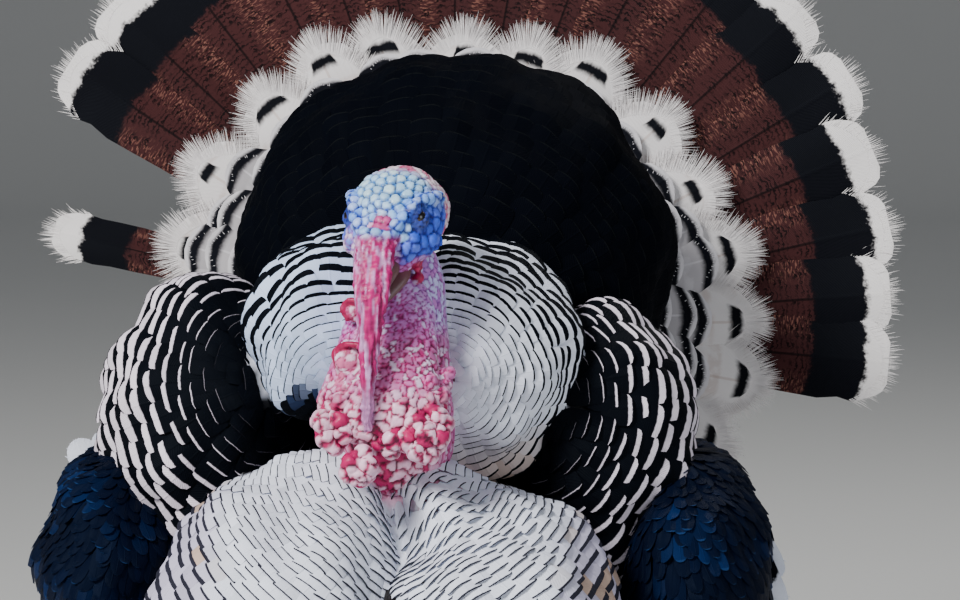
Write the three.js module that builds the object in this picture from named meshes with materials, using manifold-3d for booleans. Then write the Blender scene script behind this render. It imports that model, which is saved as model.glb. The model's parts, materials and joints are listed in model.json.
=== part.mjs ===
// A displaying tom turkey of the Narragansett colour pattern, life size: body feathers raised, tail
// fanned, wings lowered and head drawn back over the breast. Millimetres, +Z up. +X is the bird's left
// and -Y its front. The floor is Z = 0. Each solid is the outer shape of one body part, out to the tips
// of its feathers.
import * as THREE from "three";
import { mergeVertices } from "three/addons/utils/BufferGeometryUtils.js";
import Module from "manifold-3d";

const wasm = await Module();
wasm.setup();

// ---------------------------------------------------------------- driving dimensions

const GAP = 0.4; // clear space left between two neighbouring parts
const RIGHT_AND_LEFT = [
  { side: "right", sign: -1 },
  { side: "left", sign: 1 },
];

const HEAD = {
  centre: [1.5, -122, 585],
  pitch: 45, // degrees that the bill points below the horizon
  yaw: 16, // degrees that the head is turned to the bird's right
  radii: [32, 40, 28],
};
const EYE = { centre: [21.5, -10, 13.5], radius: 7 };
const BILL_LENGTH = 41;
const SNOOD = {
  length: 131,
  shares: [0.04, 0.15, 0.34, 0.55, 0.77, 1], // of its length, where its width is given
  widths: [30, 28, 24, 13, 10, 9],
  drift: 4.8, // how far its tip hangs to the bird's right of its root
  forward: 19.5, // how far it hangs before its root
  depth: 5.5,
};

// The two breast lobes and the base of the throat above them, the two ruffs beside the neck, and the
// scapular shields over the shoulders.
const BREAST = {
  right: { centre: [-70, -85, 306], radii: [100, 125, 114] },
  left: { centre: [64, -85, 300], radii: [91, 125, 107] },
};
const THROAT_BASE = { centre: [-5, -98, 396], radii: [56, 52, 46] };
const RUFF = {
  right: { centre: [-42, -18, 503], radii: [72, 84, 72] },
  left: { centre: [41, -16, 482], radii: [85, 88, 86] },
};
const SCAPULARS = {
  right: { centre: [-140, 35, 430], radii: [78, 92, 106] },
  left: { centre: [124, 35, 417], radii: [72, 92, 102] },
};
const TRUNK = { centre: [0, 62, 286], radii: [146, 190, 112] };
const MANTLE = { centre: [19, 150, 538], radii: [161, 150, 152] };
const RUMP = { centre: [6, 225, 462], radii: [122, 106, 132] };
const VENT = { centre: [0, 290, 336], radii: [104, 116, 100] };
const UNDERTAIL = { centre: [0, 380, 452], radii: [122, 56, 158] };

const FAN = {
  centre: [0, 352, 471],
  lean: 4, // degrees that the top leans back
  count: 17,
  firstAngle: -5,
  lastAngle: 146,
  width: 66,
  sideRadius: 352,
  topRadius: 388,
  thickness: 3,
  // One outer feather hangs apart from the rest, half turned.
  dropped: { angle: 167, radius: 332, width: 38 },
};
const TAIL_COVERTS = {
  count: 13,
  firstAngle: -25,
  lastAngle: 174,
  width: 86,
  radius: 272,
  thickness: 3,
};
const SHORT_COVERTS = {
  count: 13,
  firstAngle: -30,
  lastAngle: 198,
  width: 82,
  radius: 207,
  thickness: 3,
};

const WING = {
  right: { centre: [-206, 42, 326], radii: [62, 122, 100] },
  left: { centre: [194, 42, 326], radii: [58, 122, 100] },
};
// Flight feathers of one wing in side view: the angles round the wing's middle at which the first and
// the last are rooted, and the [y, z] points that their tips pass through, from front to back.
const PRIMARIES = {
  count: 7,
  width: 44,
  thickness: 4,
  rootAngles: [-128, -72],
  tips: [
    [34, 16],
    [92, 16],
    [150, 26],
    [196, 46],
  ],
};
const SECONDARIES = {
  count: 8,
  width: 60,
  thickness: 4,
  rootAngles: [-60, 30],
  tips: [
    [212, 62],
    [258, 124],
    [284, 196],
    [292, 272],
    [284, 342],
  ],
};

const STANCE = { halfWidth: 84, footY: 106 };
const HOCK = { y: 142, z: 168 };
const ANKLE_Z = 24;
const TOE_RADIUS = 8;
const SPUR_LENGTH = 22;
// The beard's way from its root between the breast lobes to its loose end.
const BEARD = {
  radius: 9,
  path: [
    [4, -134, 352],
    [4, -176, 338],
    [4, -207, 300],
    [3, -217, 236],
    [2, -208, 168],
  ],
};

const COLOURS = {
  crown: 0x9fc4e6,
  caruncle: 0xd84a5e,
  snood: 0xcf3560,
  neck: 0xc2607f,
  eye: 0x1b1410,
  horn: 0x9a8877,
  white: 0xe4e1dc,
  black: 0x15171c,
  bronze: 0x5b3b2e,
  wing: 0x1c2740,
  leg: 0xb98d84,
  claw: 0x4b3d35,
};

// ---------------------------------------------------------------- shapes

const radians = THREE.MathUtils.degToRad;
const mix = THREE.MathUtils.lerp;

// A closed three.js geometry as a solid.
function solidOf(geometry) {
  const bare = geometry.clone();
  bare.deleteAttribute("normal");
  bare.deleteAttribute("uv");
  const merged = mergeVertices(bare, 1e-3);
  return new wasm.Manifold(
    new wasm.Mesh({
      numProp: 3,
      vertProperties: merged.attributes.position.array,
      triVerts: new Uint32Array(merged.index.array),
    }),
  );
}

// A solid back as a three.js geometry.
function geometryOf(solid) {
  const mesh = solid.getMesh();
  const geometry = new THREE.BufferGeometry();
  geometry.setAttribute(
    "position",
    new THREE.BufferAttribute(mesh.vertProperties, 3),
  );
  geometry.setIndex(new THREE.BufferAttribute(mesh.triVerts, 1));
  geometry.computeVertexNormals();
  return geometry;
}

const joined = (solids) => solids.reduce((whole, next) => whole.add(next));

// An ellipsoid with its radii enlarged by grow.
function ellipsoid({ centre, radii }, grow, around = 11, rings = 7, place) {
  const geometry = new THREE.SphereGeometry(1, around, rings);
  geometry.rotateX(Math.PI / 2);
  geometry.scale(...radii.map((r) => r + grow));
  geometry.translate(...centre);
  if (place) geometry.applyMatrix4(place);
  return solidOf(geometry);
}

// A round limb through stations [x, y, z, half width, half depth], with rounded ends.
function limb(stations, grow, around = 12, rings = 12, place) {
  const line = new THREE.CatmullRomCurve3(
    stations.map(([x, y, z]) => new THREE.Vector3(x, y, z)),
  );
  const size = new THREE.SplineCurve(
    stations.map(([, , , a, b]) => new THREE.Vector2(a, b)),
  );
  const geometry = new THREE.SphereGeometry(1, around, rings);
  const position = geometry.attributes.position;
  const side = new THREE.Vector3(1, 0, 0); // carried along the limb, so that it never turns over
  const front = new THREE.Vector3();
  for (let i = 0; i < position.count; i++) {
    const ring = Math.floor(i / (around + 1));
    const t = ring / rings;
    const turn = ((i % (around + 1)) / around) * 2 * Math.PI;
    const tangent = line.getTangent(t);
    side.addScaledVector(tangent, -side.dot(tangent)).normalize();
    front.crossVectors(tangent, side);
    const { x: a, y: b } = size.getPoint(t);
    const rounding = Math.sqrt(Math.max(0, 1 - Math.abs(2 * t - 1) ** 6));
    const point = line
      .getPoint(t)
      .addScaledVector(tangent, grow * (2 * t - 1))
      .addScaledVector(side, (a + grow) * rounding * Math.cos(turn))
      .addScaledVector(front, (b + grow) * rounding * Math.sin(turn));
    position.setXYZ(i, point.x, point.y, point.z);
  }
  if (place) geometry.applyMatrix4(place);
  const solid = solidOf(geometry);
  return solid.volume() < 0 ? solidOf(flipped(geometry)) : solid;
}

// The same geometry with its faces turned the other way.
function flipped(geometry) {
  const turned = geometry.clone();
  const index = Array.from(turned.index.array);
  for (let i = 0; i < index.length; i += 3)
    [index[i + 1], index[i + 2]] = [index[i + 2], index[i + 1]];
  turned.setIndex(index);
  return turned;
}

// One feather's blade in its own flat frame, [across, along]: a narrow root and a blunt round tip.
const TIP_ARC = [
  [0.5, 0.42],
  [0.3, 0.1],
  [0, 0],
  [-0.3, 0.1],
  [-0.5, 0.42],
];

const bladeOutline = ({ length, width, root }, grow) => [
  [(width * root) / 2 + grow, -grow],
  ...TIP_ARC.map(([across, drop]) => [
    across * (width + 2 * grow),
    length + grow - drop * width,
  ]),
  [(-width * root) / 2 - grow, -grow],
];

const NOTCH = 0.26; // how deep the notch between two tips is, as a share of a feather's width

// The outline of overlapping feathers that lie in one plane, side by side anticlockwise, each from its
// root to its tip: the round tips stand out along the edge, with a notch between each two. Where two
// tips are closer than a feather's width, what shows of each narrows to suit.
function featherRow(feathers, width, grow) {
  const outline = [];
  feathers.forEach(({ root, tip }, i) => {
    const along = tip.clone().sub(root);
    const length = along.length();
    along.normalize();
    const across = new THREE.Vector2(along.y, -along.x);
    const next = feathers[i + 1];
    const previous = feathers[i - 1];
    const room = (other) =>
      other ? Math.min(1, tip.distanceTo(other.tip) / width) : 1;
    const points = bladeOutline({ length, width, root: 0.3 }, grow).map(([x, y]) =>
      root
        .clone()
        .addScaledVector(across, x * room(x > 0 ? previous : next))
        .addScaledVector(along, y),
    );
    outline.push(...points.slice(i ? 2 : 0, next ? -2 : undefined));
    if (!next) return;
    const between = tip.clone().lerp(next.tip, 0.5);
    const inward = root.clone().lerp(next.root, 0.5).sub(between).normalize();
    outline.push(between.addScaledVector(inward, NOTCH * width - grow));
  });
  for (const { root } of feathers.slice(1, -1).reverse()) outline.push(root);
  return outline;
}

// A flat sheet of the given outline, its face towards +Z.
function sheet(outline, thickness, grow) {
  const shape = new THREE.Shape(outline);
  const depth = thickness + 2 * grow;
  const geometry = new THREE.ExtrudeGeometry(shape, {
    depth,
    bevelEnabled: false,
  });
  geometry.translate(0, 0, -depth / 2);
  return geometry;
}

// A feather's blade from root to tip, with its face towards the given direction.
function blade(root, tip, facing, sizes, grow) {
  const along = tip.clone().sub(root);
  const outline = bladeOutline({ ...sizes, length: along.length() }, grow).map(
    ([x, y]) => new THREE.Vector2(x, y),
  );
  along.normalize();
  const across = new THREE.Vector3().crossVectors(along, facing).normalize();
  const face = new THREE.Vector3().crossVectors(across, along);
  const geometry = sheet(outline, sizes.thickness, grow);
  geometry.applyMatrix4(
    new THREE.Matrix4().makeBasis(across, along, face).setPosition(root),
  );
  return solidOf(geometry);
}

const BIG = 2000;

// Everything on one side of a plane of the given frame: the half space where local Y is over (or under)
// level.
function halfSpace(place, level, over) {
  const geometry = new THREE.BoxGeometry(BIG, BIG, BIG);
  geometry.translate(0, level + (over ? BIG / 2 : -BIG / 2), 0);
  geometry.applyMatrix4(place);
  return solidOf(geometry);
}

// ---------------------------------------------------------------- head and neck

// The head's own frame: X to the bird's left, -Y out along the bill, Z out of the crown.
const headFrame = new THREE.Matrix4()
  .makeTranslation(...HEAD.centre)
  .multiply(new THREE.Matrix4().makeRotationZ(radians(-HEAD.yaw)))
  .multiply(new THREE.Matrix4().makeRotationX(radians(HEAD.pitch)));

const onHead = (x, y, z) => new THREE.Vector3(x, y, z).applyMatrix4(headFrame);

function head(grow) {
  const skull = { centre: [0, 0, 0], radii: HEAD.radii };
  const face = [
    [0, -12, -4, 27, 23],
    [0, -26, -3, 22, 20],
    [0, -38, -4, 15, 14],
  ];
  const nape = [
    [0, 14, -8, 26, 25],
    [0, 26, -20, 24, 25],
    [0, 34, -36, 22, 24],
  ];
  return joined([
    ellipsoid(skull, grow, 10, 7, headFrame),
    limb(face, grow, 8, 3, headFrame),
    limb(nape, grow, 8, 3, headFrame),
  ]);
}

function eye(sign, grow) {
  const [x, y, z] = EYE.centre;
  const radii = [EYE.radius, EYE.radius, EYE.radius];
  return ellipsoid(
    { centre: [sign * x, y, z], radii },
    grow,
    8,
    4,
    headFrame,
  );
}

function upperBill(grow) {
  const base = -32;
  const tip = base - BILL_LENGTH;
  const stations = [
    [0, base, -2, 16, 10],
    [0, base - 15, -2, 12, 8.5],
    [0, base - 30, -5, 6.5, 6],
    [0, tip, -10.5, 2, 2.5],
  ];
  return limb(stations, grow, 8, 5, headFrame);
}

function lowerBill(grow) {
  const base = -24;
  const tip = base - BILL_LENGTH + 2;
  const stations = [
    [0, base, -13, 17, 6],
    [0, base - 14, -14.5, 16, 5.5],
    [0, base - 26, -15, 10.5, 4.5],
    [0, tip, -15, 3, 2],
  ];
  return limb(stations, grow, 8, 4, headFrame);
}

function snood(grow) {
  const root = onHead(0, -27, 20.5);
  const { length, shares, widths, drift, forward, depth } = SNOOD;
  const stations = shares.map((share, i) => {
    const ahead = forward * Math.sin((Math.PI / 2) * Math.min(1, share * 2.5));
    return [
      root.x - drift * share,
      root.y - ahead,
      root.z - length * share,
      widths[i] / 2,
      depth,
    ];
  });
  return limb([[root.x, root.y, root.z, 11, 7], ...stations], grow, 6, 8);
}

// Bead-shaped lobes set round a middle point, joined into one caruncle.
function caruncle(centre, radius, lobes, grow) {
  const beads = [
    ellipsoid({ centre, radii: [radius, radius * 0.8, radius] }, grow, 5, 3),
  ];
  for (let i = 0; i < lobes; i++) {
    const turn = (2 * Math.PI * i) / lobes;
    const [x, y, z] = centre;
    const at = [
      x + radius * 0.75 * Math.cos(turn),
      y - radius * 0.35,
      z + radius * 0.75 * Math.sin(turn),
    ];
    const size = radius * 0.52;
    beads.push(ellipsoid({ centre: at, radii: [size, size, size] }, grow, 5, 3));
  }
  return joined(beads);
}

const CARUNCLES = {
  caruncle_left: [[24, -160, 446], 16, 4],
  caruncle_right: [[-36, -156, 451], 13, 3],
  caruncle_middle: [[-17, -172, 424], 11, 3],
};

function dewlap(grow) {
  const stations = [
    [0, -123, 554, 20, 11],
    [0, -129, 528, 28, 15],
    [-3, -141, 494, 34, 18],
    [-5, -148, 464, 42, 21],
    [-6, -152, 440, 36, 18],
  ];
  return limb(stations, grow, 8, 5);
}

function upperNeck(grow) {
  const stations = [
    [6, -98, 574, 24, 26],
    [5, -98, 545, 28, 27],
    [3, -97, 520, 30, 29],
  ];
  return limb(stations, grow, 12, 4);
}

function lowerNeck(grow) {
  const stations = [
    [3, -97, 516, 30, 30],
    [2, -98, 486, 34, 34],
    [0, -98, 455, 38, 38],
    [0, -96, 428, 38, 42],
    [0, -92, 398, 34, 40],
  ];
  return limb(stations, grow, 10, 6);
}

// ---------------------------------------------------------------- trunk

function thigh(sign, grow) {
  const stations = [
    [sign * 62, 78, 262, 52, 62],
    [sign * 76, 104, 222, 44, 54],
    [sign * STANCE.halfWidth, HOCK.y - 12, 188, 27, 33],
    [sign * STANCE.halfWidth, HOCK.y, HOCK.z + 2, 14, 17],
  ];
  return limb(stations, grow, 10, 5);
}

// A tassel of bristles that springs from between the breast lobes and hangs free.
function beard(grow) {
  const { radius, path } = BEARD;
  const last = path.length - 1;
  const stations = path.map(([x, y, z], i) => {
    const width = radius * (i === last ? 0.6 : mix(0.75, 1, i / last));
    return [x, y, z, width, radius * 0.7];
  });
  return limb(stations, grow, 6, 6);
}

// ---------------------------------------------------------------- wings

// Where the flight feathers leave the coverts, as a share of the way out to the coverts' edge.
const ROOT_SHARE = 0.8;
const BLADE_OUT = 30; // how far outside the middle of the coverts the sheet of flight feathers passes
const BLADE_SLOPE = 0.09; // how much further out it gets per millimetre down

function flightFeathers(side, sign, plan, grow) {
  const { centre, radii } = WING[side];
  const [x, y, z] = centre;
  const tipLine = new THREE.SplineCurve(
    plan.tips.map(([u, v]) => new THREE.Vector2(u - y, v - z)),
  );
  const feathers = [];
  for (let i = 0; i < plan.count; i++) {
    const t = i / (plan.count - 1);
    const angle = radians(mix(...plan.rootAngles, t));
    const root = new THREE.Vector2(
      radii[1] * ROOT_SHARE * Math.cos(angle),
      radii[2] * ROOT_SHARE * Math.sin(angle),
    );
    feathers.push({ root, tip: tipLine.getPointAt(t) });
  }
  const frame = new THREE.Matrix4().makeBasis(
    new THREE.Vector3(0, 1, 0),
    new THREE.Vector3(-sign * BLADE_SLOPE, 0, 1).normalize(),
    new THREE.Vector3(1, 0, sign * BLADE_SLOPE).normalize(),
  );
  frame.setPosition(x + sign * BLADE_OUT, y, z);
  const geometry = sheet(
    featherRow(feathers, plan.width, grow),
    plan.thickness,
    grow,
  );
  geometry.applyMatrix4(frame);
  return solidOf(geometry);
}

// ---------------------------------------------------------------- tail

const fanFrame = new THREE.Matrix4()
  .makeTranslation(...FAN.centre)
  .multiply(new THREE.Matrix4().makeRotationX(radians(-FAN.lean)));

const polar = (distance, angle) =>
  new THREE.Vector2(
    distance * Math.cos(radians(angle)),
    distance * Math.sin(radians(angle)),
  );

// A fan of overlapping feathers as one thin sheet on a hub. It lies behind (or, with a negative depth,
// in front of) the middle of the tail.
function fanSheet(fan, radiusAt, depth, grow) {
  const { count, firstAngle, lastAngle, width, thickness } = fan;
  const HUB = 46;
  const feathers = [];
  for (let i = 0; i < count; i++) {
    const angle = mix(firstAngle, lastAngle, i / (count - 1));
    const root = polar(HUB * 0.5, angle);
    feathers.push({ root, tip: polar(radiusAt(angle), angle) });
  }
  const hub = new THREE.CylinderGeometry(HUB + grow, HUB + grow, 8 + 2 * grow, 10);
  hub.translate(0, depth + 2, 0);
  hub.applyMatrix4(fanFrame);
  const geometry = sheet(featherRow(feathers, width, grow), thickness, grow);
  geometry.rotateX(Math.PI / 2);
  geometry.translate(0, depth, 0);
  geometry.applyMatrix4(fanFrame);
  return joined([solidOf(hub), solidOf(geometry)]);
}

function tailFan(grow) {
  const radiusAt = (angle) =>
    mix(
      FAN.sideRadius,
      FAN.topRadius,
      Math.min(1, 1.25 * Math.max(0, Math.sin(radians(angle)))),
    );
  const { angle, radius, width } = FAN.dropped;
  const out = new THREE.Vector3(Math.cos(radians(angle)), 0, Math.sin(radians(angle)));
  const place = (distance) =>
    out.clone().multiplyScalar(distance).applyMatrix4(fanFrame);
  const sizes = { width, root: 0.4, thickness: FAN.thickness };
  const facing = new THREE.Vector3(0, -1, 0);
  return joined([
    fanSheet(FAN, radiusAt, 0, grow),
    blade(place(24), place(radius), facing, sizes, grow),
  ]);
}

const tailCoverts = (fan, depth, grow) =>
  fanSheet(fan, () => fan.radius, depth, grow);

function underTail(grow) {
  return ellipsoid(UNDERTAIL, grow).intersect(
    halfSpace(fanFrame, 14 - grow, true),
  );
}

// ---------------------------------------------------------------- legs

function shank(sign, grow) {
  const x = sign * STANCE.halfWidth;
  const stations = [
    [x, HOCK.y - 4, HOCK.z + 22, 12, 13],
    [x, HOCK.y, HOCK.z, 13, 16],
    [x, HOCK.y - 4, HOCK.z - 18, 10, 12],
    [x, mix(HOCK.y, STANCE.footY, 0.35), 116, 8, 9],
    [x, mix(HOCK.y, STANCE.footY, 0.7), 66, 8, 9],
    [x, STANCE.footY + 2, ANKLE_Z + 6, 10, 12],
    [x, STANCE.footY, ANKLE_Z - 14, 10, 12],
  ];
  return limb(stations, grow, 8, 8);
}

// Each toe: its direction in degrees from straight ahead, outwards positive, its length and its middle
// joints.
const TOES = {
  inner: { turn: -28, length: 66, joints: 2 },
  middle: { turn: 3, length: 92, joints: 3 },
  outer: { turn: 34, length: 74, joints: 3 },
  hind: { turn: 196, length: 34, joints: 1 },
};

const toeEnd = (sign, { turn, length }) => {
  const angle = radians(turn);
  return new THREE.Vector3(
    sign * (STANCE.halfWidth + length * Math.sin(angle)),
    STANCE.footY - length * Math.cos(angle),
    0,
  );
};

function toe(sign, plan, grow) {
  const end = toeEnd(sign, plan);
  const start = [sign * STANCE.halfWidth, STANCE.footY];
  const steps = plan.joints * 2;
  const stations = [];
  for (let i = 0; i <= steps; i++) {
    const share = i / steps;
    const knuckle = i % 2 ? 1 : 0.88;
    const radius = TOE_RADIUS * mix(1.1, 0.72, share) * knuckle;
    stations.push([
      mix(start[0], end.x, share),
      mix(start[1], end.y, share),
      mix(12, 4.5, Math.sqrt(share)),
      radius,
      radius,
    ]);
  }
  return limb(stations, grow, 5, steps);
}

// The foot: four toes joined at the ball, cut off flat where they meet the floor.
function foot(sign, grow) {
  const ball = {
    centre: [sign * STANCE.halfWidth, STANCE.footY, 12],
    radii: [15, 16, 14],
  };
  const whole = joined([
    ellipsoid(ball, grow, 8, 4),
    ...Object.values(TOES).map((plan) => toe(sign, plan, grow)),
  ]);
  const aboveFloor = new THREE.Matrix4().makeRotationX(Math.PI / 2);
  return whole.intersect(halfSpace(aboveFloor, -grow, true));
}

function claw(sign, plan, grow) {
  const end = toeEnd(sign, plan);
  const angle = radians(plan.turn);
  const out = new THREE.Vector3(
    sign * Math.sin(angle),
    -Math.cos(angle),
    0,
  );
  const reach = [-5, 3, 9, 14];
  const height = [6.5, 7, 5, 1.8];
  const size = [3.4, 3, 2, 0.7];
  const stations = reach.map((r, i) => [
    end.x + out.x * r,
    end.y + out.y * r,
    height[i],
    size[i],
    size[i],
  ]);
  return limb(stations, grow, 5, 3);
}

function spur(sign, grow) {
  const x = sign * (STANCE.halfWidth - 5);
  const y = mix(HOCK.y, STANCE.footY, 0.68) + 5;
  const inward = -sign * 0.35;
  const share = [0, 0.4, 0.75, 1];
  const stations = share.map((s) => [
    x + inward * SPUR_LENGTH * s,
    y + SPUR_LENGTH * s,
    66 + 5 * s * s,
    mix(5.5, 1, s),
    mix(5.5, 1, s),
  ]);
  return limb(stations, grow, 5, 3);
}

// ---------------------------------------------------------------- the bird

// Each part's name, colour and shape. A part is cut back, with a gap, from every part above it in the
// list.
const plan = [];
const part = (name, colour, make) => plan.push({ name, colour, make });

for (const { side, sign } of RIGHT_AND_LEFT)
  part(`eye_${side}`, "eye", (grow) => eye(sign, grow));
part("bill_upper", "horn", upperBill);
part("bill_lower", "horn", lowerBill);
part("snood", "snood", snood);
for (const [name, [centre, radius, lobes]] of Object.entries(CARUNCLES))
  part(name, "caruncle", (grow) => caruncle(centre, radius, lobes, grow));
part("head", "crown", head);
part("dewlap", "caruncle", dewlap);
part("neck_upper", "neck", upperNeck);
part("neck_lower", "neck", lowerNeck);
part("beard", "black", beard);
part("throat_base", "white", (grow) => ellipsoid(THROAT_BASE, grow, 9, 6));
for (const { side } of RIGHT_AND_LEFT)
  part(`breast_${side}`, "white", (grow) => ellipsoid(BREAST[side], grow, 12, 7));
for (const { side } of RIGHT_AND_LEFT)
  part(`ruff_${side}`, "white", (grow) => ellipsoid(RUFF[side], grow, 13, 7));
for (const { side } of RIGHT_AND_LEFT)
  part(`scapulars_${side}`, "black", (grow) =>
    ellipsoid(SCAPULARS[side], grow),
  );
for (const { side, sign } of RIGHT_AND_LEFT) {
  part(`wing_${side}`, "wing", (grow) => ellipsoid(WING[side], grow));
  part(`primaries_${side}`, "white", (grow) =>
    flightFeathers(side, sign, PRIMARIES, grow),
  );
  part(`secondaries_${side}`, "white", (grow) =>
    flightFeathers(side, sign, SECONDARIES, grow),
  );
}
part("tail_fan", "bronze", tailFan);
part("undertail", "white", underTail);
part("mantle", "black", (grow) => ellipsoid(MANTLE, grow, 15, 8));
part("rump", "black", (grow) =>
  ellipsoid(RUMP, grow).intersect(halfSpace(fanFrame, -24 + grow, false)),
);
part("tail_coverts", "white", (grow) => tailCoverts(TAIL_COVERTS, -10, grow));
part("tail_coverts_short", "white", (grow) =>
  tailCoverts(SHORT_COVERTS, -24, grow),
);
for (const { side, sign } of RIGHT_AND_LEFT) {
  part(`foot_${side}`, "leg", (grow) => foot(sign, grow));
  part(`spur_${side}`, "claw", (grow) => spur(sign, grow));
  for (const [toeName, toePlan] of Object.entries(TOES))
    part(`claw_${toeName}_${side}`, "claw", (grow) =>
      claw(sign, toePlan, grow),
    );
  part(`shank_${side}`, "leg", (grow) => shank(sign, grow));
  part(`thigh_${side}`, "black", (grow) => thigh(sign, grow));
}
part("vent", "white", (grow) => ellipsoid(VENT, grow));
part("trunk", "black", (grow) => ellipsoid(TRUNK, grow, 12, 7));

// The largest body of a solid, leaving out slivers that a cut has set free.
function mainBody(solid) {
  const bodies = solid.decompose();
  return bodies.reduce((best, body) =>
    body.volume() > best.volume() ? body : best,
  );
}

const apart = (a, b) =>
  [0, 1, 2].some((k) => a.min[k] > b.max[k] || b.min[k] > a.max[k]);

const bird = new THREE.Group();
const cutters = [];
for (const { name, colour, make } of plan) {
  let solid = make(0);
  for (const cutter of cutters)
    if (!apart(solid.boundingBox(), cutter.boundingBox()))
      solid = solid.subtract(cutter);
  cutters.push(make(GAP));
  const material = new THREE.MeshStandardMaterial({
    color: COLOURS[colour],
    roughness: colour === "eye" ? 0.1 : 0.65,
    metalness: 0,
  });
  const mesh = new THREE.Mesh(geometryOf(mainBody(solid)), material);
  mesh.name = name;
  bird.add(mesh);
}

// The origin is on the floor, under the middle of the bird's box.
const box = new THREE.Box3().setFromObject(bird);
const middle = box.getCenter(new THREE.Vector3());
bird.position.set(-middle.x, -middle.y, -box.min.z);

export default bird;
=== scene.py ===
"""Skin, plumage, horn, eyes and legs of a displaying turkey tom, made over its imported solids.

Lengths are in metres. Shapes are worked out in the bird's own frame and moved to the row frame as the
last step. In the bird's frame X is the bird's left, -Y its front, and the point between its feet lies on
Y = STANCE_Y.
"""

import json
import logging
from collections.abc import Callable
from dataclasses import dataclass
from enum import Enum
from functools import partial, reduce
from itertools import product
from math import acos, atan2, cos, dist, pi, radians, sin, sqrt

import bmesh
import bpy
import numpy as np
from mathutils import Matrix, Vector, kdtree


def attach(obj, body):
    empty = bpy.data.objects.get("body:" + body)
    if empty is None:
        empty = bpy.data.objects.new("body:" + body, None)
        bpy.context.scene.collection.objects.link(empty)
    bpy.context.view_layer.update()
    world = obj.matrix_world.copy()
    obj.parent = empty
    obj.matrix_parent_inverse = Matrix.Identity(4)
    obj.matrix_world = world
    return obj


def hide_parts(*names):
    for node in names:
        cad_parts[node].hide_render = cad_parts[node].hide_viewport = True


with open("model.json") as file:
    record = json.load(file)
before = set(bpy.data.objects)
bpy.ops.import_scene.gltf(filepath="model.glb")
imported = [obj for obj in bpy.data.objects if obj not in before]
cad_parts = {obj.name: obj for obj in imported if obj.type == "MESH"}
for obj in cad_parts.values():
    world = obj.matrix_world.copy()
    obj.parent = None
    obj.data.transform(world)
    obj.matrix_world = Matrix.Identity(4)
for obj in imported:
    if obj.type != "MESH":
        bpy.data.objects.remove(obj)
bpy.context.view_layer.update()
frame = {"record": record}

log = logging.getLogger("turkey")

Vec = tuple[float, float, float]
Pair = tuple[float, float]
Array = np.ndarray
Random = np.random.Generator
Mesh = bpy.types.Mesh
Material = bpy.types.Material
Socket = bpy.types.NodeSocket

STANCE_Y = 0.106  # how far the balls of the feet lie behind the origin of the bird's own frame
SOLES = [m["pos_m"] for m in frame["record"]["mounts"] if m["name"].startswith("sole")]
HOME = np.mean(SOLES, axis=0) - np.array([0.0, STANCE_Y, 0.0])
SIDES = {"left": 1, "right": -1}
TAU = 2 * pi


# ---------------- small maths


def unit(vectors: Array) -> Array:
    """Vectors scaled to length 1 along their last axis."""
    return vectors / np.maximum(np.linalg.norm(vectors, axis=-1, keepdims=True), 1e-12)


def blend(pair: Pair, share: Array | float) -> Array | float:
    """The value that lies this share of the way between the pair's two."""
    return pair[0] + (pair[1] - pair[0]) * share


def shades(pair: tuple[Vec, Vec], share: Array) -> Array:
    """The colours that lie each share of the way between the pair's two."""
    return blend(np.array(pair), share[:, None])


def smooth(low: float, high: float, value: Array) -> Array:
    """0 below low, 1 above high, and a smooth step between them (low may be the greater)."""
    t = np.clip((value - low) / (high - low), 0, 1)
    return t * t * (3 - 2 * t)


class Ripple:
    """Smooth noise in space: a sum of waves with seeded directions."""

    def __init__(self, wavelength: float, seed: int) -> None:
        """Draws the waves.

        Args:
            wavelength: The length of the longest waves.
            seed: Picks the pattern.
        """
        rng = np.random.default_rng(seed)
        waves = 14
        directions = unit(rng.normal(size=(waves, 3)))
        self.turns = directions * (TAU / wavelength * rng.uniform(0.8, 2.2, (waves, 1)))
        self.phases = rng.uniform(0, TAU, waves)
        self.weight = sqrt(2 / waves)

    def at(self, points: Array) -> Array:
        """The noise at each point, mostly between -1 and 1."""
        return np.sin(points @ self.turns.T + self.phases).sum(-1) * self.weight


# ---------------- meshes from arrays


@dataclass
class Chunk:
    """Many copies of one small shape: their corners, and what each corner and each copy carries."""

    points: Array  # copies x corners x 3
    faces: list[tuple[int, ...]]
    along: Array  # corners x 2: the place across and along the shape
    marks: Array  # copies x 3: edge, band and a random number
    dye: Array  # copies x 3
    root: Array  # copies x 2: the root's place on the unwrapped skin
    patch: float  # the width of a copy's patch on the bake map
    rim: Array  # corners: whether the corner lies on a sharp rim


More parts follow.
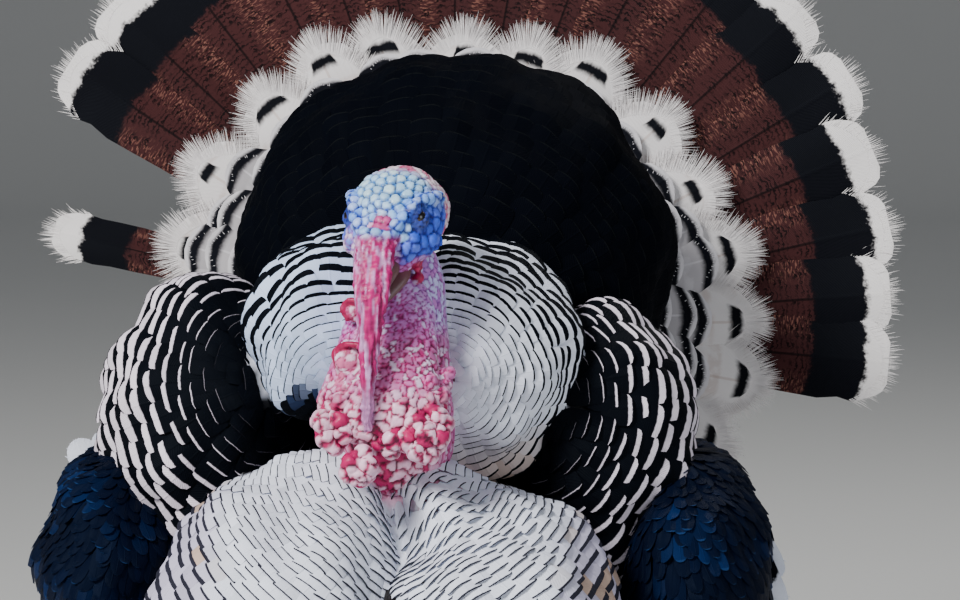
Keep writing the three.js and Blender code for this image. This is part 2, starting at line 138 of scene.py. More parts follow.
class Batch:
    """Gathers chunks of like shapes into one mesh."""

    def __init__(self) -> None:
        """Starts with no chunk."""
        self.chunks: list[Chunk] = []

    def add(self, chunk: Chunk) -> None:
        """Adds one chunk, if it has any copies."""
        if len(chunk.points):
            self.chunks.append(chunk)

    def mesh(self, name: str) -> Mesh:
        """One mesh of all chunks.

        Args:
            name: The mesh's name.

        Returns:
            The mesh, with the maps "vane" and "OFBake" and the attributes "marks" and "dye".
        """
        corners, sizes, base = [], [], 0
        for chunk in self.chunks:
            copies, per = chunk.points.shape[:2]
            flat = np.concatenate([np.array(face) for face in chunk.faces])
            starts = base + np.arange(copies)[:, None] * per
            corners.append((starts + flat[None, :]).ravel())
            sizes.append(np.tile([len(face) for face in chunk.faces], copies))
            base += copies * per
        corner_points = np.concatenate(corners).astype(np.int32)
        face_sizes = np.concatenate(sizes).astype(np.int32)
        mesh = bpy.data.meshes.new(name)
        mesh.vertices.add(base)
        mesh.vertices.foreach_set("co", self.gather(lambda c: c.points, 3).ravel())
        mesh.loops.add(len(corner_points))
        mesh.loops.foreach_set("vertex_index", corner_points)
        mesh.polygons.add(len(face_sizes))
        first = np.concatenate([[0], np.cumsum(face_sizes)[:-1]]).astype(np.int32)
        mesh.polygons.foreach_set("loop_start", first)
        mesh.polygons.foreach_set("use_smooth", np.ones(len(face_sizes), bool))
        mesh.update(calc_edges=True)
        for map_name, values in (("vane", self.vane_map()), ("OFBake", self.bake_map())):
            layer = mesh.uv_layers.new(name=map_name)
            layer.uv.foreach_set("vector", values[corner_points].ravel())
        for label, values in (
            ("marks", self.gather(lambda c: c.marks[:, None, :], 3)),
            ("dye", self.gather(lambda c: c.dye[:, None, :], 3)),
        ):
            attribute = mesh.attributes.new(label, "FLOAT_VECTOR", "POINT")
            attribute.data.foreach_set("vector", values.ravel())
        self.sharpen(mesh)
        return mesh

    def gather(self, values: Callable[[Chunk], Array], width: int) -> Array:
        """Each chunk's values, spread to its corners, as one array of that width.

        Args:
            values: Reads the values of a chunk.
            width: How many numbers each corner has.

        Returns:
            One row for each corner.
        """
        rows = []
        for chunk in self.chunks:
            shape = (*chunk.points.shape[:2], width)
            rows.append(np.broadcast_to(values(chunk), shape).reshape(-1, width))
        return np.concatenate(rows)

    def vane_map(self) -> Array:
        """Each corner's place across and along its own shape."""
        return self.gather(lambda c: c.along[None], 2)

    def bake_map(self) -> Array:
        """Each corner's place on the unwrapped skin: a small patch at its shape's root."""
        return self.gather(lambda c: c.root[:, None, :] + (c.along[None] - 0.5) * c.patch, 2)

    def sharpen(self, mesh: Mesh) -> None:
        """Marks the edges along each shape's rim as sharp.

        Args:
            mesh: The mesh.
        """
        rim = self.gather(lambda c: c.rim[None, :, None], 1)[:, 0].astype(bool)
        ends = np.empty(len(mesh.edges) * 2, np.int32)
        mesh.edges.foreach_get("vertices", ends)
        both = rim[ends.reshape(-1, 2)].all(1)
        attribute = mesh.attributes.new("sharp_edge", "BOOLEAN", "EDGE")
        attribute.data.foreach_set("value", both)


@dataclass(frozen=True)
class Vane:
    """The outline and cross-section of one kind of feather, as a grid of corners over a thin closed blade."""

    rows: tuple[float, ...] = (0.0, 0.36, 0.64, 0.82, 0.92, 0.975, 1.0)
    widths: tuple[float, ...] = (0.35, 0.9, 1.0, 1.0, 0.93, 0.76, 0.5)
    across: int = 5
    camber: float = 0.16  # how far the sides droop, as a share of half the width
    thickness: float = 0.0004

    def grid(self) -> tuple[Array, Array]:
        """The corners' places across, from -1 to 1, and along, from 0 to 1."""
        across, along = np.meshgrid(np.linspace(-1, 1, self.across), self.rows)
        return across.ravel(), along.ravel()

    def half_widths(self) -> Array:
        """The share of half the width at each corner's row."""
        return np.repeat(self.widths, self.across)

    def faces(self) -> list[tuple[int, ...]]:
        """The closed blade's faces: its upper side, its underside with one middle line, and its ends."""
        n, rows = self.across, len(self.rows)
        under = n * rows
        faces: list[tuple[int, ...]] = []
        for j in range(rows - 1):
            low, high = j * n, (j + 1) * n
            faces += [(low + i, low + i + 1, high + i + 1, high + i) for i in range(n - 1)]
            faces.append((low, high, under + j + 1, under + j))
            faces.append((under + j, under + j + 1, high + n - 1, low + n - 1))
        last = (rows - 1) * n
        return [*faces, (under, *range(n - 1, -1, -1)), (*range(last, last + n), under + rows - 1)]

    def rim(self) -> Array:
        """Which corners lie round the blade's outline."""
        n, rows = self.across, len(self.rows)
        on_rim = np.zeros((rows, n), bool)
        on_rim[:, [0, -1]] = True
        on_rim[[0, -1]] = True
        return np.concatenate([on_rim.ravel(), np.zeros(rows, bool)])

    def chunk(self, top: Array, up: Array, marks: Array, dye: Array, root: Array, patch: float) -> Chunk:
        """Closed blades from the corners of their upper sides.

        Args:
            top: The corners of the upper sides, copies x corners x 3.
            up: The way out of the upper side, copies x corners x 3.
            marks: Edge, band and random number of each blade.
            dye: The ground colour of each blade.
            root: The place of each root on the unwrapped skin.
            patch: The width of a blade's patch on the bake map.

        Returns:
            The chunk of blades.
        """
        n, rows = self.across, len(self.rows)
        middle = np.arange(rows) * n + n // 2
        across, along = self.grid()
        under = top[:, middle] - up[:, middle] * self.thickness
        places = np.stack([(across + 1) / 2, along], 1)
        places = np.concatenate([places, places[middle]])
        return Chunk(
            points=np.concatenate([top, under], 1), faces=self.faces(), along=places, marks=marks, dye=dye,
            root=root, patch=patch, rim=self.rim(),
        )


# ---------------- materials


class Tree:
    """Short ways to add and link nodes in one node tree."""

    def __init__(self, tree: bpy.types.NodeTree) -> None:
        """Keeps the tree that the nodes go into."""
        self.tree = tree

    def add(self, kind: str, **settings: object) -> bpy.types.Node:
        """A new node.

        Args:
            kind: The node's type.
            settings: Values of its own fields.

        Returns:
            The node.
        """
        node = self.tree.nodes.new(kind)
        for key, value in settings.items():
            setattr(node, key, value)
        return node

    def put(self, socket: Socket, value: object) -> None:
        """Links a socket or sets a plain value.

        Args:
            socket: The input.
            value: A socket, or a plain value.
        """
        if isinstance(value, Socket):
            self.tree.links.new(value, socket)
        else:
            socket.default_value = value

    def made(
        self, kind: str, values: dict[str | int, object], output: str | int = 0, **settings: object,
    ) -> Socket:
        """One output of a new node.

        Args:
            kind: The node's type.
            values: A socket or a plain value for some of its inputs.
            output: Which output is wanted.
            settings: Values of the node's own fields.

        Returns:
            The output.
        """
        node = self.add(kind, **settings)
        for key, value in values.items():
            self.put(node.inputs[key], value)
        return node.outputs[output]

    def math(self, operation: str, *values: object, clamp: bool = False) -> Socket:
        """The result of a Math node."""
        return self.made("ShaderNodeMath", dict(enumerate(values)), operation=operation, use_clamp=clamp)

    def mul(self, *values: object) -> Socket:
        """The product of all values."""
        return reduce(partial(self.math, "MULTIPLY"), values)

    def plus(self, *values: object) -> Socket:
        """The sum of all values."""
        return reduce(partial(self.math, "ADD"), values)

    def less(self, first: object, second: object) -> Socket:
        """The first value less the second."""
        return self.math("SUBTRACT", first, second)

    def point(self, *values: object) -> Socket:
        """The vector of three values."""
        return self.made("ShaderNodeCombineXYZ", dict(enumerate(values)))

    def parts(self, vector: object) -> bpy.types.bpy_prop_collection:
        """The three values of a vector."""
        return self.made("ShaderNodeSeparateXYZ", {0: vector}).node.outputs

    def stretched(self, vector: object, factors: Vec) -> Socket:
        """A vector with each of its values made greater or less."""
        return self.made("ShaderNodeVectorMath", {0: vector, 1: factors}, operation="MULTIPLY")

    def carried(self, name: str) -> Socket:
        """The colour or vector that the mesh carries under a name."""
        return self.made("ShaderNodeAttribute", {}, "Color", attribute_name=name)

    def step(self, value: object, low: float, high: object) -> Socket:
        """A smooth step from 0 at low to 1 at high."""
        values = {"Value": value, "From Min": low, "From Max": high}
        return self.made("ShaderNodeMapRange", values, "Result", interpolation_type="SMOOTHSTEP")

    def mix(self, share: object, first: object, second: object) -> Socket:
        """A colour between two others."""
        values = {"Factor": share, "A": colour(first), "B": colour(second)}
        return self.made("ShaderNodeMix", values, "Result", data_type="RGBA")

    def scaled(self, first: object, factor: object) -> Socket:
        """A colour made lighter or darker by a factor."""
        return self.made("ShaderNodeVectorMath", {0: first, "Scale": factor}, operation="SCALE")

    def noise(self, vector: object, scale: float, detail: float = 2.0) -> Socket:
        """The strength of a Noise Texture, about 0.5 on average."""
        return self.made("ShaderNodeTexNoise", {"Vector": vector, "Scale": scale, "Detail": detail}, "Fac")

    def bump(self, height: object, strength: float, distance: float) -> Socket:
        """A normal raised by a height."""
        values = {"Height": height, "Strength": strength, "Distance": distance}
        return self.made("ShaderNodeBump", values, "Normal")


def colour(value: object) -> object:
    """A colour tuple with its fourth number, or a socket as it is.

    Args:
        value: A colour of three or four numbers, or a socket.

    Returns:
        The value for a colour socket.
    """
    if isinstance(value, tuple) and len(value) == 3:
        return (*value, 1.0)
    return value


def new_group(name: str, inputs: dict[str, str], outputs: dict[str, str]) -> tuple[Tree, dict, dict]:
    """An empty shader node group.

    Args:
        name: The group's name.
        inputs: Socket type by input name, such as Float or Color.
        outputs: Socket type by output name.

    Returns:
        The group's tree, its input sockets and its output sockets by name.
    """
    group = bpy.data.node_groups.new(name, "ShaderNodeTree")
    for label, kind in inputs.items():
        group.interface.new_socket(label, in_out="INPUT", socket_type=f"NodeSocket{kind}")
    for label, kind in outputs.items():
        group.interface.new_socket(label, in_out="OUTPUT", socket_type=f"NodeSocket{kind}")
    tree = Tree(group)
    given = tree.add("NodeGroupInput").outputs
    wanted = tree.add("NodeGroupOutput").inputs
    return tree, given, wanted


def barb_group() -> bpy.types.ShaderNodeTree:
    """The shaft and the fine barbs of a feather: a height, and a slight light and dark."""
    tree, given, wanted = new_group(
        "Barbs", {"Across": "Float", "Along": "Float", "Count": "Float"},
        {"Height": "Float", "Shade": "Float"},
    )
    line = tree.less(given["Along"], tree.mul(given["Across"], 0.22))
    wave = tree.math("SINE", tree.mul(line, given["Count"], TAU))
    shaft = tree.less(1.0, tree.step(given["Across"], 0.02, 0.09))
    tree.put(wanted["Height"], tree.plus(tree.mul(wave, 0.35), shaft))
    tree.put(wanted["Shade"], tree.plus(1.0, tree.mul(wave, 0.05)))
    return tree.tree


def tip_group() -> bpy.types.ShaderNodeTree:
    """How far inside a feather's tip a point lies, by its length, with a slightly ragged outline."""
    tree, given, wanted = new_group(
        "Tip distance", {"Across": "Float", "Along": "Float", "Random": "Float"}, {"Distance": "Float"}
    )
    across, along = given["Across"], given["Along"]
    side = tree.mul(tree.less(1.0, across), 0.35)
    shy = tree.mul(tree.math("MAXIMUM", tree.less(0.95, along), 0.0), 1.6)
    nearest = tree.math("SMOOTH_MIN", tree.less(1.0, along), tree.plus(side, shy), 0.05)
    spot = tree.point(tree.mul(across, 3.0), tree.mul(along, 9.0), tree.mul(given["Random"], 57.0))
    rough = tree.mul(tree.less(tree.noise(spot, 1.0), 0.5), 0.04)
    tree.put(wanted["Distance"], tree.plus(nearest, rough))
    return tree.tree


class Groups:
    """The shader node groups that materials share, each built when it is first wanted."""

    made: dict[str, bpy.types.ShaderNodeTree] = {}
    makers = {"Barbs": barb_group, "Tip distance": tip_group}

    @classmethod
    def place(cls, tree: Tree, name: str, values: dict[str, object]) -> bpy.types.bpy_prop_collection:
        """Places a group in a material and returns its outputs.

        Args:
            tree: The tree of the material.
            name: The group's name.
            values: The value of each of its inputs.

        Returns:
            The outputs.
        """
        if name not in cls.made:
            cls.made[name] = cls.makers[name]()
        node = tree.add("ShaderNodeGroup", node_tree=cls.made[name])
        for label, value in values.items():
            tree.put(node.inputs[label], value)
        return node.outputs


@dataclass(frozen=True)
class Gloss:
    """How a surface takes light, set on the shader's own sockets."""

    roughness: float = 0.6
    specular: float = 0.5
    tint: Vec = (1.0, 1.0, 1.0)
    coat: float = 0.0
    subsurface: float = 0.0

    def dress(self, shader: bpy.types.Node) -> None:
        """Sets the shader's plain sockets.

        Args:
            shader: The shader.
        """
        values = {
            "Roughness": self.roughness, "Specular IOR Level": self.specular, "Coat Weight": self.coat,
            "Specular Tint": colour(self.tint), "Subsurface Weight": self.subsurface,
        }
        for name, value in values.items():
            shader.inputs[name].default_value = value


def new_material(name: str, gloss: Gloss) -> tuple[Material, Tree, bpy.types.Node]:
    """An empty material with its shader.

    Args:
        name: Its name.
        gloss: How it takes light.

    Returns:
        The material, its tree and its shader.
    """
    material = bpy.data.materials.new(name)
    material.use_nodes = True
    tree = Tree(material.node_tree)
    material.node_tree.nodes.clear()
    shader = tree.add("ShaderNodeBsdfPrincipled")
    output = tree.add("ShaderNodeOutputMaterial")
    tree.put(output.inputs["Surface"], shader.outputs[0])
    gloss.dress(shader)
    return material, tree, shader


@dataclass(frozen=True)
class Tinted:
    """A finish that takes its colours from the mesh, with a fine mottle and a relief."""

    name: str
    gloss: Gloss
    attribute: str = "flesh"
    mottle: Pair = (420.0, 0.44)  # how fine, and how strong
    relief: float = 1300.0  # how fine
    bump: Pair = (0.45, 0.0005)  # how strong, and how high
    grain: Vec = (1.0, 1.0, 1.0)  # stretches both

    def material(self) -> Material:
        """Builds the material."""
        material, tree, shader = new_material(self.name, self.gloss)
        if self.gloss.subsurface:
            shader.inputs["Subsurface Radius"].default_value = (0.004, 0.0015, 0.001)
            shader.inputs["Subsurface Scale"].default_value = 1.0
        place = tree.stretched(tree.add("ShaderNodeTexCoord").outputs["Object"], self.grain)
        fineness, strength = self.mottle
        shade = tree.plus(1.0 - strength / 2, tree.mul(tree.noise(place, fineness, 3.0), strength))
        tree.put(shader.inputs["Base Color"], tree.scaled(tree.carried(self.attribute), shade))
        tree.put(shader.inputs["Normal"], tree.bump(tree.noise(place, self.relief, 4.0), *self.bump))
        return material


@dataclass(frozen=True)
class FeatherInputs:
    """What a feather's mesh gives its material."""

    middle: Socket  # from -1 at one side to 1 at the other
    across: Socket  # the same without its sign
    along: Socket  # from 0 at the root to 1 at the tip
    marks: bpy.types.bpy_prop_collection
    dye: Socket

    @classmethod
    def of(cls, tree: Tree) -> "FeatherInputs":
        """Places the nodes that read them.

        Args:
            tree: The material's tree.

        Returns:
            Their outputs.
        """
        across, along, _ = tree.parts(tree.add("ShaderNodeUVMap", uv_map="vane").outputs[0])
        middle = tree.mul(tree.less(across, 0.5), 2.0)
        marks = tree.parts(tree.add("ShaderNodeAttribute", attribute_name="marks").outputs["Vector"])
        return cls(middle, tree.math("ABSOLUTE", middle), along, marks, tree.carried("dye"))

    def finish(self, tree: Tree, shader: bpy.types.Node, tint: object, barbs: float, relief: Pair) -> None:
        """Links the colour and the relief of the barbs.

        Args:
            tree: The material's tree.
            shader: Its shader.
            tint: The feather's colour, before the barbs' light and dark.
            barbs: How many barbs there are along the feather.
            relief: How strong their relief is, and how high.
        """
        made = Groups.place(tree, "Barbs", {"Across": self.across, "Along": self.along, "Count": barbs})
        tree.put(shader.inputs["Base Color"], tree.scaled(tint, made["Shade"]))
        tree.put(shader.inputs["Normal"], tree.bump(made["Height"], *relief))


@dataclass(frozen=True)
class Plumage:
    """The finish of a tract of feathers: the ground from each feather's dye, a band and an edge."""

    name: str
    band: Vec
    edge: Vec
    gloss: Gloss
    barbs: float = 26.0
    relief: Pair = (0.6, 0.0004)  # how strong, and how high

    SOFT = 0.012  # the width of the edge's soft border

    def material(self) -> Material:
        """Builds the material."""
        material, tree, shader = new_material(self.name, self.gloss)
        given = FeatherInputs.of(tree)
        edge, band, random = given.marks
        inside = Groups.place(
            tree, "Tip distance", {"Across": given.across, "Along": given.along, "Random": random}
        )["Distance"]
        in_band = tree.less(1.0, self.after(tree, inside, band, 2 * self.SOFT))
        in_edge = tree.less(1.0, self.after(tree, inside, edge, self.SOFT))
        mixed = tree.mix(in_edge, tree.mix(in_band, given.dye, self.band), self.edge)
        lively = tree.plus(0.88, tree.mul(random, 0.24))
        given.finish(tree, shader, tree.scaled(mixed, lively), self.barbs, self.relief)
        return material

    @staticmethod
    def after(tree: Tree, inside: object, limit: object, soft: float) -> Socket:
        """1 where the distance passes a limit, with a soft step of that width."""
        return tree.math("ADD", tree.math("DIVIDE", tree.less(inside, limit), soft), 0.5, clamp=True)


# ---------------- the body's masses and the feathers on them


@dataclass(frozen=True)
class Lobe:
    """One rounded mass of the body: the ellipsoid of its solid, with slow swells over it."""

    centre: Vec
    radii: Vec
    swell: float = 0.0025
    seed: int = 1
    peak: Vec | None = None  # a point that the mass rises to
    peak_width: float = 0.23  # how wide that rise is, in radians from the peak

    def rays(self, points: Array | Vec) -> Array:
        """The directions of points in the mass's own unit sphere."""
        return unit(np.subtract(points, self.centre) / self.radii)

    def axes(self, pole: Vec) -> tuple[Array, Array, Array]:
        """The direction of a pole, and two others square to it.

        Args:
            pole: A point.

        Returns:
            The three directions.
        """
        ray = self.rays(pole)
        side = unit(np.cross(ray, [0.0, 0.31, 0.95]))
        return ray, side, np.cross(ray, side)

    def reach(self, rays: Array) -> Array:
        """How far out the surface lies along rays: 1, or more near the peak.

        Args:
            rays: Directions in the unit sphere.

        Returns:
            One number for each ray.
        """
        if self.peak is None:
            return np.ones(rays.shape[:-1])
        top = np.subtract(self.peak, self.centre) / self.radii
        turn = np.arccos(np.clip(rays @ unit(top), -1, 1))
        return 1 + (np.linalg.norm(top) - 1) * np.exp(-((turn / self.peak_width) ** 2) / 2)

    def surface(self, points: Array, height: Array | float) -> Array:
        """The points brought onto the mass along its rays, at a height over it.

        Args:
            points: Points near the mass.
            height: How far outside it each one goes.

        Returns:
            The points on, over or under the surface.
        """
        ray = self.rays(points)
        rise = Ripple(0.09, self.seed).at(ray * self.radii) * self.swell + height
        at = self.centre + ray * self.radii * self.reach(ray)[..., None]
        return at + unit(ray / self.radii) * rise[..., None]

    def outward(self, points: Array) -> Array:
        """The way out of the mass at each point."""
        return unit((points - self.centre) / np.square(self.radii))

    def depth(self, points: Array) -> Array:
        """About how deep each point lies inside the mass. It is negative outside."""
        return (1 - np.linalg.norm((points - self.centre) / self.radii, axis=-1)) * min(self.radii)


@dataclass(frozen=True)
class Lot:
    """The feathers of one tract while they are laid."""

    roots: Array  # on the skin
    share: Array  # how far each root lies from the first row, at 0, to the last, at 1
    rng: Random

    def drawn(self, low: float, high: float) -> Array:
        """A random number for each feather."""
        return self.rng.uniform(low, high, len(self.share))


@dataclass(frozen=True)
class Tract:
    """Rows of feathers that ring a pole on a mass and point away from it.

    Pairs run from the first row, at the pole, to the last.
    """

    name: str
    lobe: Lobe
    pole: Vec
    reach: Pair  # the first and the last row's angle from the pole, in degrees
    spacing: Pair  # between rows
    width: Pair  # of a feather
    edge: Pair = (0.04, 0.04)  # the dark rim at the tip, as a share of the feather's length
    band: Pair = (0.0, 0.0)  # where the band at the tip ends, as a share of the length
    dye: tuple[Vec, Vec] = ((0.8, 0.8, 0.8), (0.8, 0.8, 0.8))
    vane: Vane = Vane()
    length: float = 2.9  # a feather's length over the rows' spacing
    lift: Pair = (0.004, 0.006)  # how far the tips stand over the roots
    depth: float = 0.006  # how far the roots lie inside the solid
    untidy: float = 2.0  # degrees by which feathers stray from the row's direction
    growth: float = 1.0  # above 1, the pairs stay near their first value for longer
    seed: int = 1

    CLOSE = 1.12  # how closely the feathers of a row stand, over their width
    HALF = 0.62  # half a feather's own width, over the tract's
    HIDDEN = (0.014, 0.009)  # how deep in another mass root and tip lie when a feather is left out

    def rings(self) -> tuple[Array, Array]:
        """The roots of all feathers.

        Returns:
            The roots' directions in the mass's own unit sphere, and each one's share of the way from the
            first row to the last.
        """
        pole, side, other = self.lobe.axes(self.pole)
        radii = np.array(self.lobe.radii)
        turn = np.linspace(0, TAU, 241)
        circle = np.cos(turn)[:, None] * side + np.sin(turn)[:, None] * other
        first, last = np.radians(self.reach)
        rng = np.random.default_rng(self.seed)
        angle, row, rays, shares = first, 0, [], []
        while angle < last:
            share = ((angle - first) / (last - first)) ** self.growth
            ring = cos(angle) * pole + sin(angle) * circle
            walk = np.concatenate([[0], np.cumsum(np.linalg.norm(np.diff(ring * radii, axis=0), axis=1))])
            count = max(3, round(walk[-1] / blend(self.width, share) * self.CLOSE))
            stops = (np.arange(count) + 0.5 * (row % 2) + rng.uniform(-0.1, 0.1, count)) / count
            places = np.interp((stops % 1) * walk[-1], walk, turn)
            around = np.cos(places)[:, None] * side + np.sin(places)[:, None] * other
            waver = angle + rng.uniform(-0.05, 0.05, count) * blend(self.spacing, share) / radii.mean()
            rays.append(np.cos(waver)[:, None] * pole + np.sin(waver)[:, None] * around)
            shares.append(np.full(count, share))
            slope = (-sin(angle) * pole + cos(angle) * circle) * radii
            angle += blend(self.spacing, share) / np.linalg.norm(slope, axis=1).mean()
            row += 1
        return np.concatenate(rays), np.concatenate(shares)

    def lay(self, hidden_by: list[Lobe]) -> Batch:
        """Builds the tract's feathers.

        Args:
            hidden_by: Other masses, inside which no feather is wanted.

        Returns:
            The batch of feathers.
        """
        rays, share = self.rings()
        pole = self.lobe.rays(self.pole)
        roots = self.lobe.surface(self.lobe.centre + rays * self.lobe.radii, -self.depth)
        away = (rays * (rays @ pole)[:, None] - pole) * self.lobe.radii
        up = self.lobe.outward(roots)
        away = unit(away - up * (away * up).sum(1, keepdims=True))
        length = blend(self.spacing, share) * self.length
        tips = self.lobe.surface(roots + away * length[:, None], 0.0)
        shown = np.ones(len(roots), bool)
        for lobe in hidden_by:
            shown &= (lobe.depth(roots) < self.HIDDEN[0]) | (lobe.depth(tips) < self.HIDDEN[1])
        rays, share, roots, away, up = (a[shown] for a in (rays, share, roots, away, up))
        return self.feathers(roots, away, up, share)

    def feathers(self, roots: Array, away: Array, up: Array, share: Array) -> Batch:
        """Vanes at the given roots, bent over the mass.

        Args:
            roots: The roots, on the skin.
            away: The way that each feather points.
            up: The way out of the skin.
            share: Each root's share of the way from the first row to the last.

        Returns:
            The batch of feathers.
        """
        rng = np.random.default_rng(self.seed + 100)
        count = len(roots)
        turn = np.radians(rng.normal(0, self.untidy, count))[:, None]
        beside = np.cross(away, up)
        along = away * np.cos(turn) + beside * np.sin(turn)
        beside = np.cross(along, up)
        length = blend(self.spacing, share) * self.length * rng.uniform(0.97, 1.03, count)
        half = blend(self.width, share) * self.HALF * rng.uniform(0.95, 1.05, count)
        lift = blend(self.lift, share) * rng.uniform(0.85, 1.15, count)
        u, v = self.vane.grid()
        spread = u * self.vane.half_widths()
        points = roots[:, None, :] + along[:, None, :] * (length[:, None] * v)[..., None]
        points = points + beside[:, None, :] * (half[:, None] * spread)[..., None]
        tilt = rng.normal(0, 0.0005, count)[:, None] * u
        rise = lift[:, None] * v**0.9 - half[:, None] * self.vane.camber * spread**2 * v + tilt
        points = self.lobe.surface(points, rise - self.depth)
        return self.batch(points, self.lobe.outward(points), Lot(roots, share, rng))

    def batch(self, points: Array, up: Array, lot: Lot) -> Batch:
        """The vanes' corners with their marks, dyes and places on the bake map.

        Args:
            points: The corners of the upper sides.
            up: The way out at each of them.
            lot: The tract's feathers.

        Returns:
            The batch of feathers.
        """
        edges, bands = self.edge_widths(lot), self.band_ends(lot)
        marks = np.stack([edges, bands, lot.rng.uniform(0, 1, len(points))], 1)
        dyes = self.dyes(lot)
        batch = Batch()
        batch.add(self.vane.chunk(points, up, marks, dyes, *unwrapped(lot.roots, self.lobe, self.pole)))
        return batch

    def edge_widths(self, lot: Lot) -> Array:
        """The dark rim's width at each feather's tip."""
        return blend(self.edge, lot.share) * lot.drawn(0.8, 1.2)

    def band_ends(self, lot: Lot) -> Array:
        """Where each feather's band ends."""
        return blend(self.band, lot.share) * lot.drawn(0.88, 1.12)

    def dyes(self, lot: Lot) -> Array:
        """Each feather's ground colour."""
        return shades(self.dye, lot.share)


def unwrapped(roots: Array, lobe: Lobe, pole: Vec) -> tuple[Array, float]:
    """Roots on a flat unwrap of their mass round a pole.

    Args:
        roots: The roots, on the skin.
        lobe: The mass.
        pole: The middle of the unwrap.

    Returns:
        Each root's place on the map, and the width of its patch there.
    """
    rays = lobe.rays(roots)
    middle, side, other = lobe.axes(pole)
    angle = np.arccos(np.clip(rays @ middle, -1, 1))
    flat = unit(np.stack([rays @ side, rays @ other], 1)) * angle[:, None]
    low, high = flat.min(0), flat.max(0)
    room = (high - low).max() + 1e-9
    patch = 0.5 / sqrt(max(len(roots), 1))
    return 0.03 + 0.94 * (flat - low) / room, patch


SQUARE = Vane(rows=(0.0, 0.4, 0.68, 0.84, 0.93, 0.985, 1.0), widths=(0.4, 0.92, 1.0, 1.0, 1.0, 0.97, 0.88))
BLUNT = Vane(rows=(0.0, 0.4, 0.66, 0.82, 0.92, 0.98, 1.0), widths=(0.4, 0.92, 1.0, 1.0, 0.96, 0.84, 0.62))
NARROW = Vane(rows=(0.0, 0.4, 0.62, 0.78, 0.9, 0.97, 1.0), widths=(0.4, 0.92, 1.0, 0.95, 0.76, 0.46, 0.2))

LOBES: dict[str, Lobe] = {
    "breast_right": Lobe((-0.07, -0.085, 0.306), (0.1, 0.125, 0.114), seed=11, peak=(-0.018, -0.11, 0.43)),
    "breast_left": Lobe((0.064, -0.085, 0.3), (0.091, 0.125, 0.107), seed=12, peak=(0.006, -0.11, 0.427)),
    "ruff_right": Lobe((-0.042, -0.018, 0.503), (0.072, 0.084, 0.072), seed=13),
    "ruff_left": Lobe((0.041, -0.016, 0.482), (0.085, 0.088, 0.086), seed=14),
    "scapulars_right": Lobe((-0.14, 0.035, 0.43), (0.078, 0.092, 0.106), seed=15),
    "scapulars_left": Lobe((0.124, 0.035, 0.417), (0.072, 0.092, 0.102), seed=16),
    "wing_right": Lobe((-0.206, 0.042, 0.326), (0.062, 0.122, 0.1), seed=17),
    "wing_left": Lobe((0.194, 0.042, 0.326), (0.058, 0.122, 0.1), seed=18),
    "mantle": Lobe((0.019, 0.15, 0.538), (0.161, 0.15, 0.152), seed=19),
    "rump": Lobe((0.006, 0.225, 0.462), (0.122, 0.106, 0.132), seed=20),
    "vent": Lobe((0.0, 0.29, 0.336), (0.104, 0.116, 0.1), seed=21),
    "undertail": Lobe((0.0, 0.38, 0.452), (0.122, 0.056, 0.158), seed=22),
    "trunk": Lobe((0.0, 0.062, 0.286), (0.146, 0.19, 0.112), seed=23),
    "thigh_right": Lobe((-0.075, 0.104, 0.222), (0.044, 0.056, 0.06), seed=24),
    "thigh_left": Lobe((0.075, 0.104, 0.222), (0.044, 0.056, 0.06), seed=25),
}

# WHITE is white feathers with a painted bluish cast of shade.
WHITE: Vec = (0.8, 0.84, 0.96)
LAVENDER: Vec = (0.54, 0.51, 0.66)
BLACK: Vec = (0.0014, 0.002, 0.004)
NAVY: Vec = (0.0016, 0.0036, 0.013)
# The wing coverts' bright blue is painted sheen.
PAINTED_BLUE_SHEEN: Vec = (0.004, 0.017, 0.072)
# The right ruff's white with painted shade: a dimmer, bluer copy of WHITE.
SHADED_RUFF_WHITE: Vec = (0.56, 0.68, 0.92)
BLUE_BLACK: Vec = (0.004, 0.007, 0.018)
HOLLOW_BLUE: Vec = (0.016, 0.028, 0.07)  # pale feathers in the shade of a hollow
SLATE: Vec = (0.3, 0.3, 0.33)
TAN: Vec = (0.52, 0.38, 0.31)

FEATHER_GLOSS = Gloss(roughness=0.6, specular=0.06, tint=(0.7, 0.85, 1.0))
DARK_GLOSS = Gloss(roughness=0.42, specular=0.16, tint=(0.6, 0.8, 1.0))
DEEP_GLOSS = Gloss(roughness=0.6, specular=0.012)
WING_GLOSS = Gloss(roughness=0.5, specular=0.06, tint=(0.5, 0.7, 1.0))


class Finish(Enum):
    """The finishes of the feather tracts."""

    LACED = Plumage("laced white feather", WHITE, BLACK, FEATHER_GLOSS)
    BANDED = Plumage("banded black feather", (0.74, 0.67, 0.76), BLACK, FEATHER_GLOSS)
    # The lighter rims of GLOSSY and DEEP are painted glints on the feathers' edges.
    GLOSSY = Plumage("glossy black feather", BLACK, (0.01, 0.022, 0.03), DARK_GLOSS)
    DEEP = Plumage("deep black feather", BLACK, (0.005, 0.006, 0.007), DEEP_GLOSS)
    # COVERT's blue rim is painted sheen.
    COVERT = Plumage("blue wing covert", (0.009, 0.032, 0.105), BLACK, WING_GLOSS)
    # BREAST's bluish dark tips are partly painted shade between the feathers.
    BREAST = Plumage("white breast feather", WHITE, (0.022, 0.022, 0.034), FEATHER_GLOSS)
    FLUFF = Plumage("grey body feather", SLATE, (0.6, 0.58, 0.57), FEATHER_GLOSS)


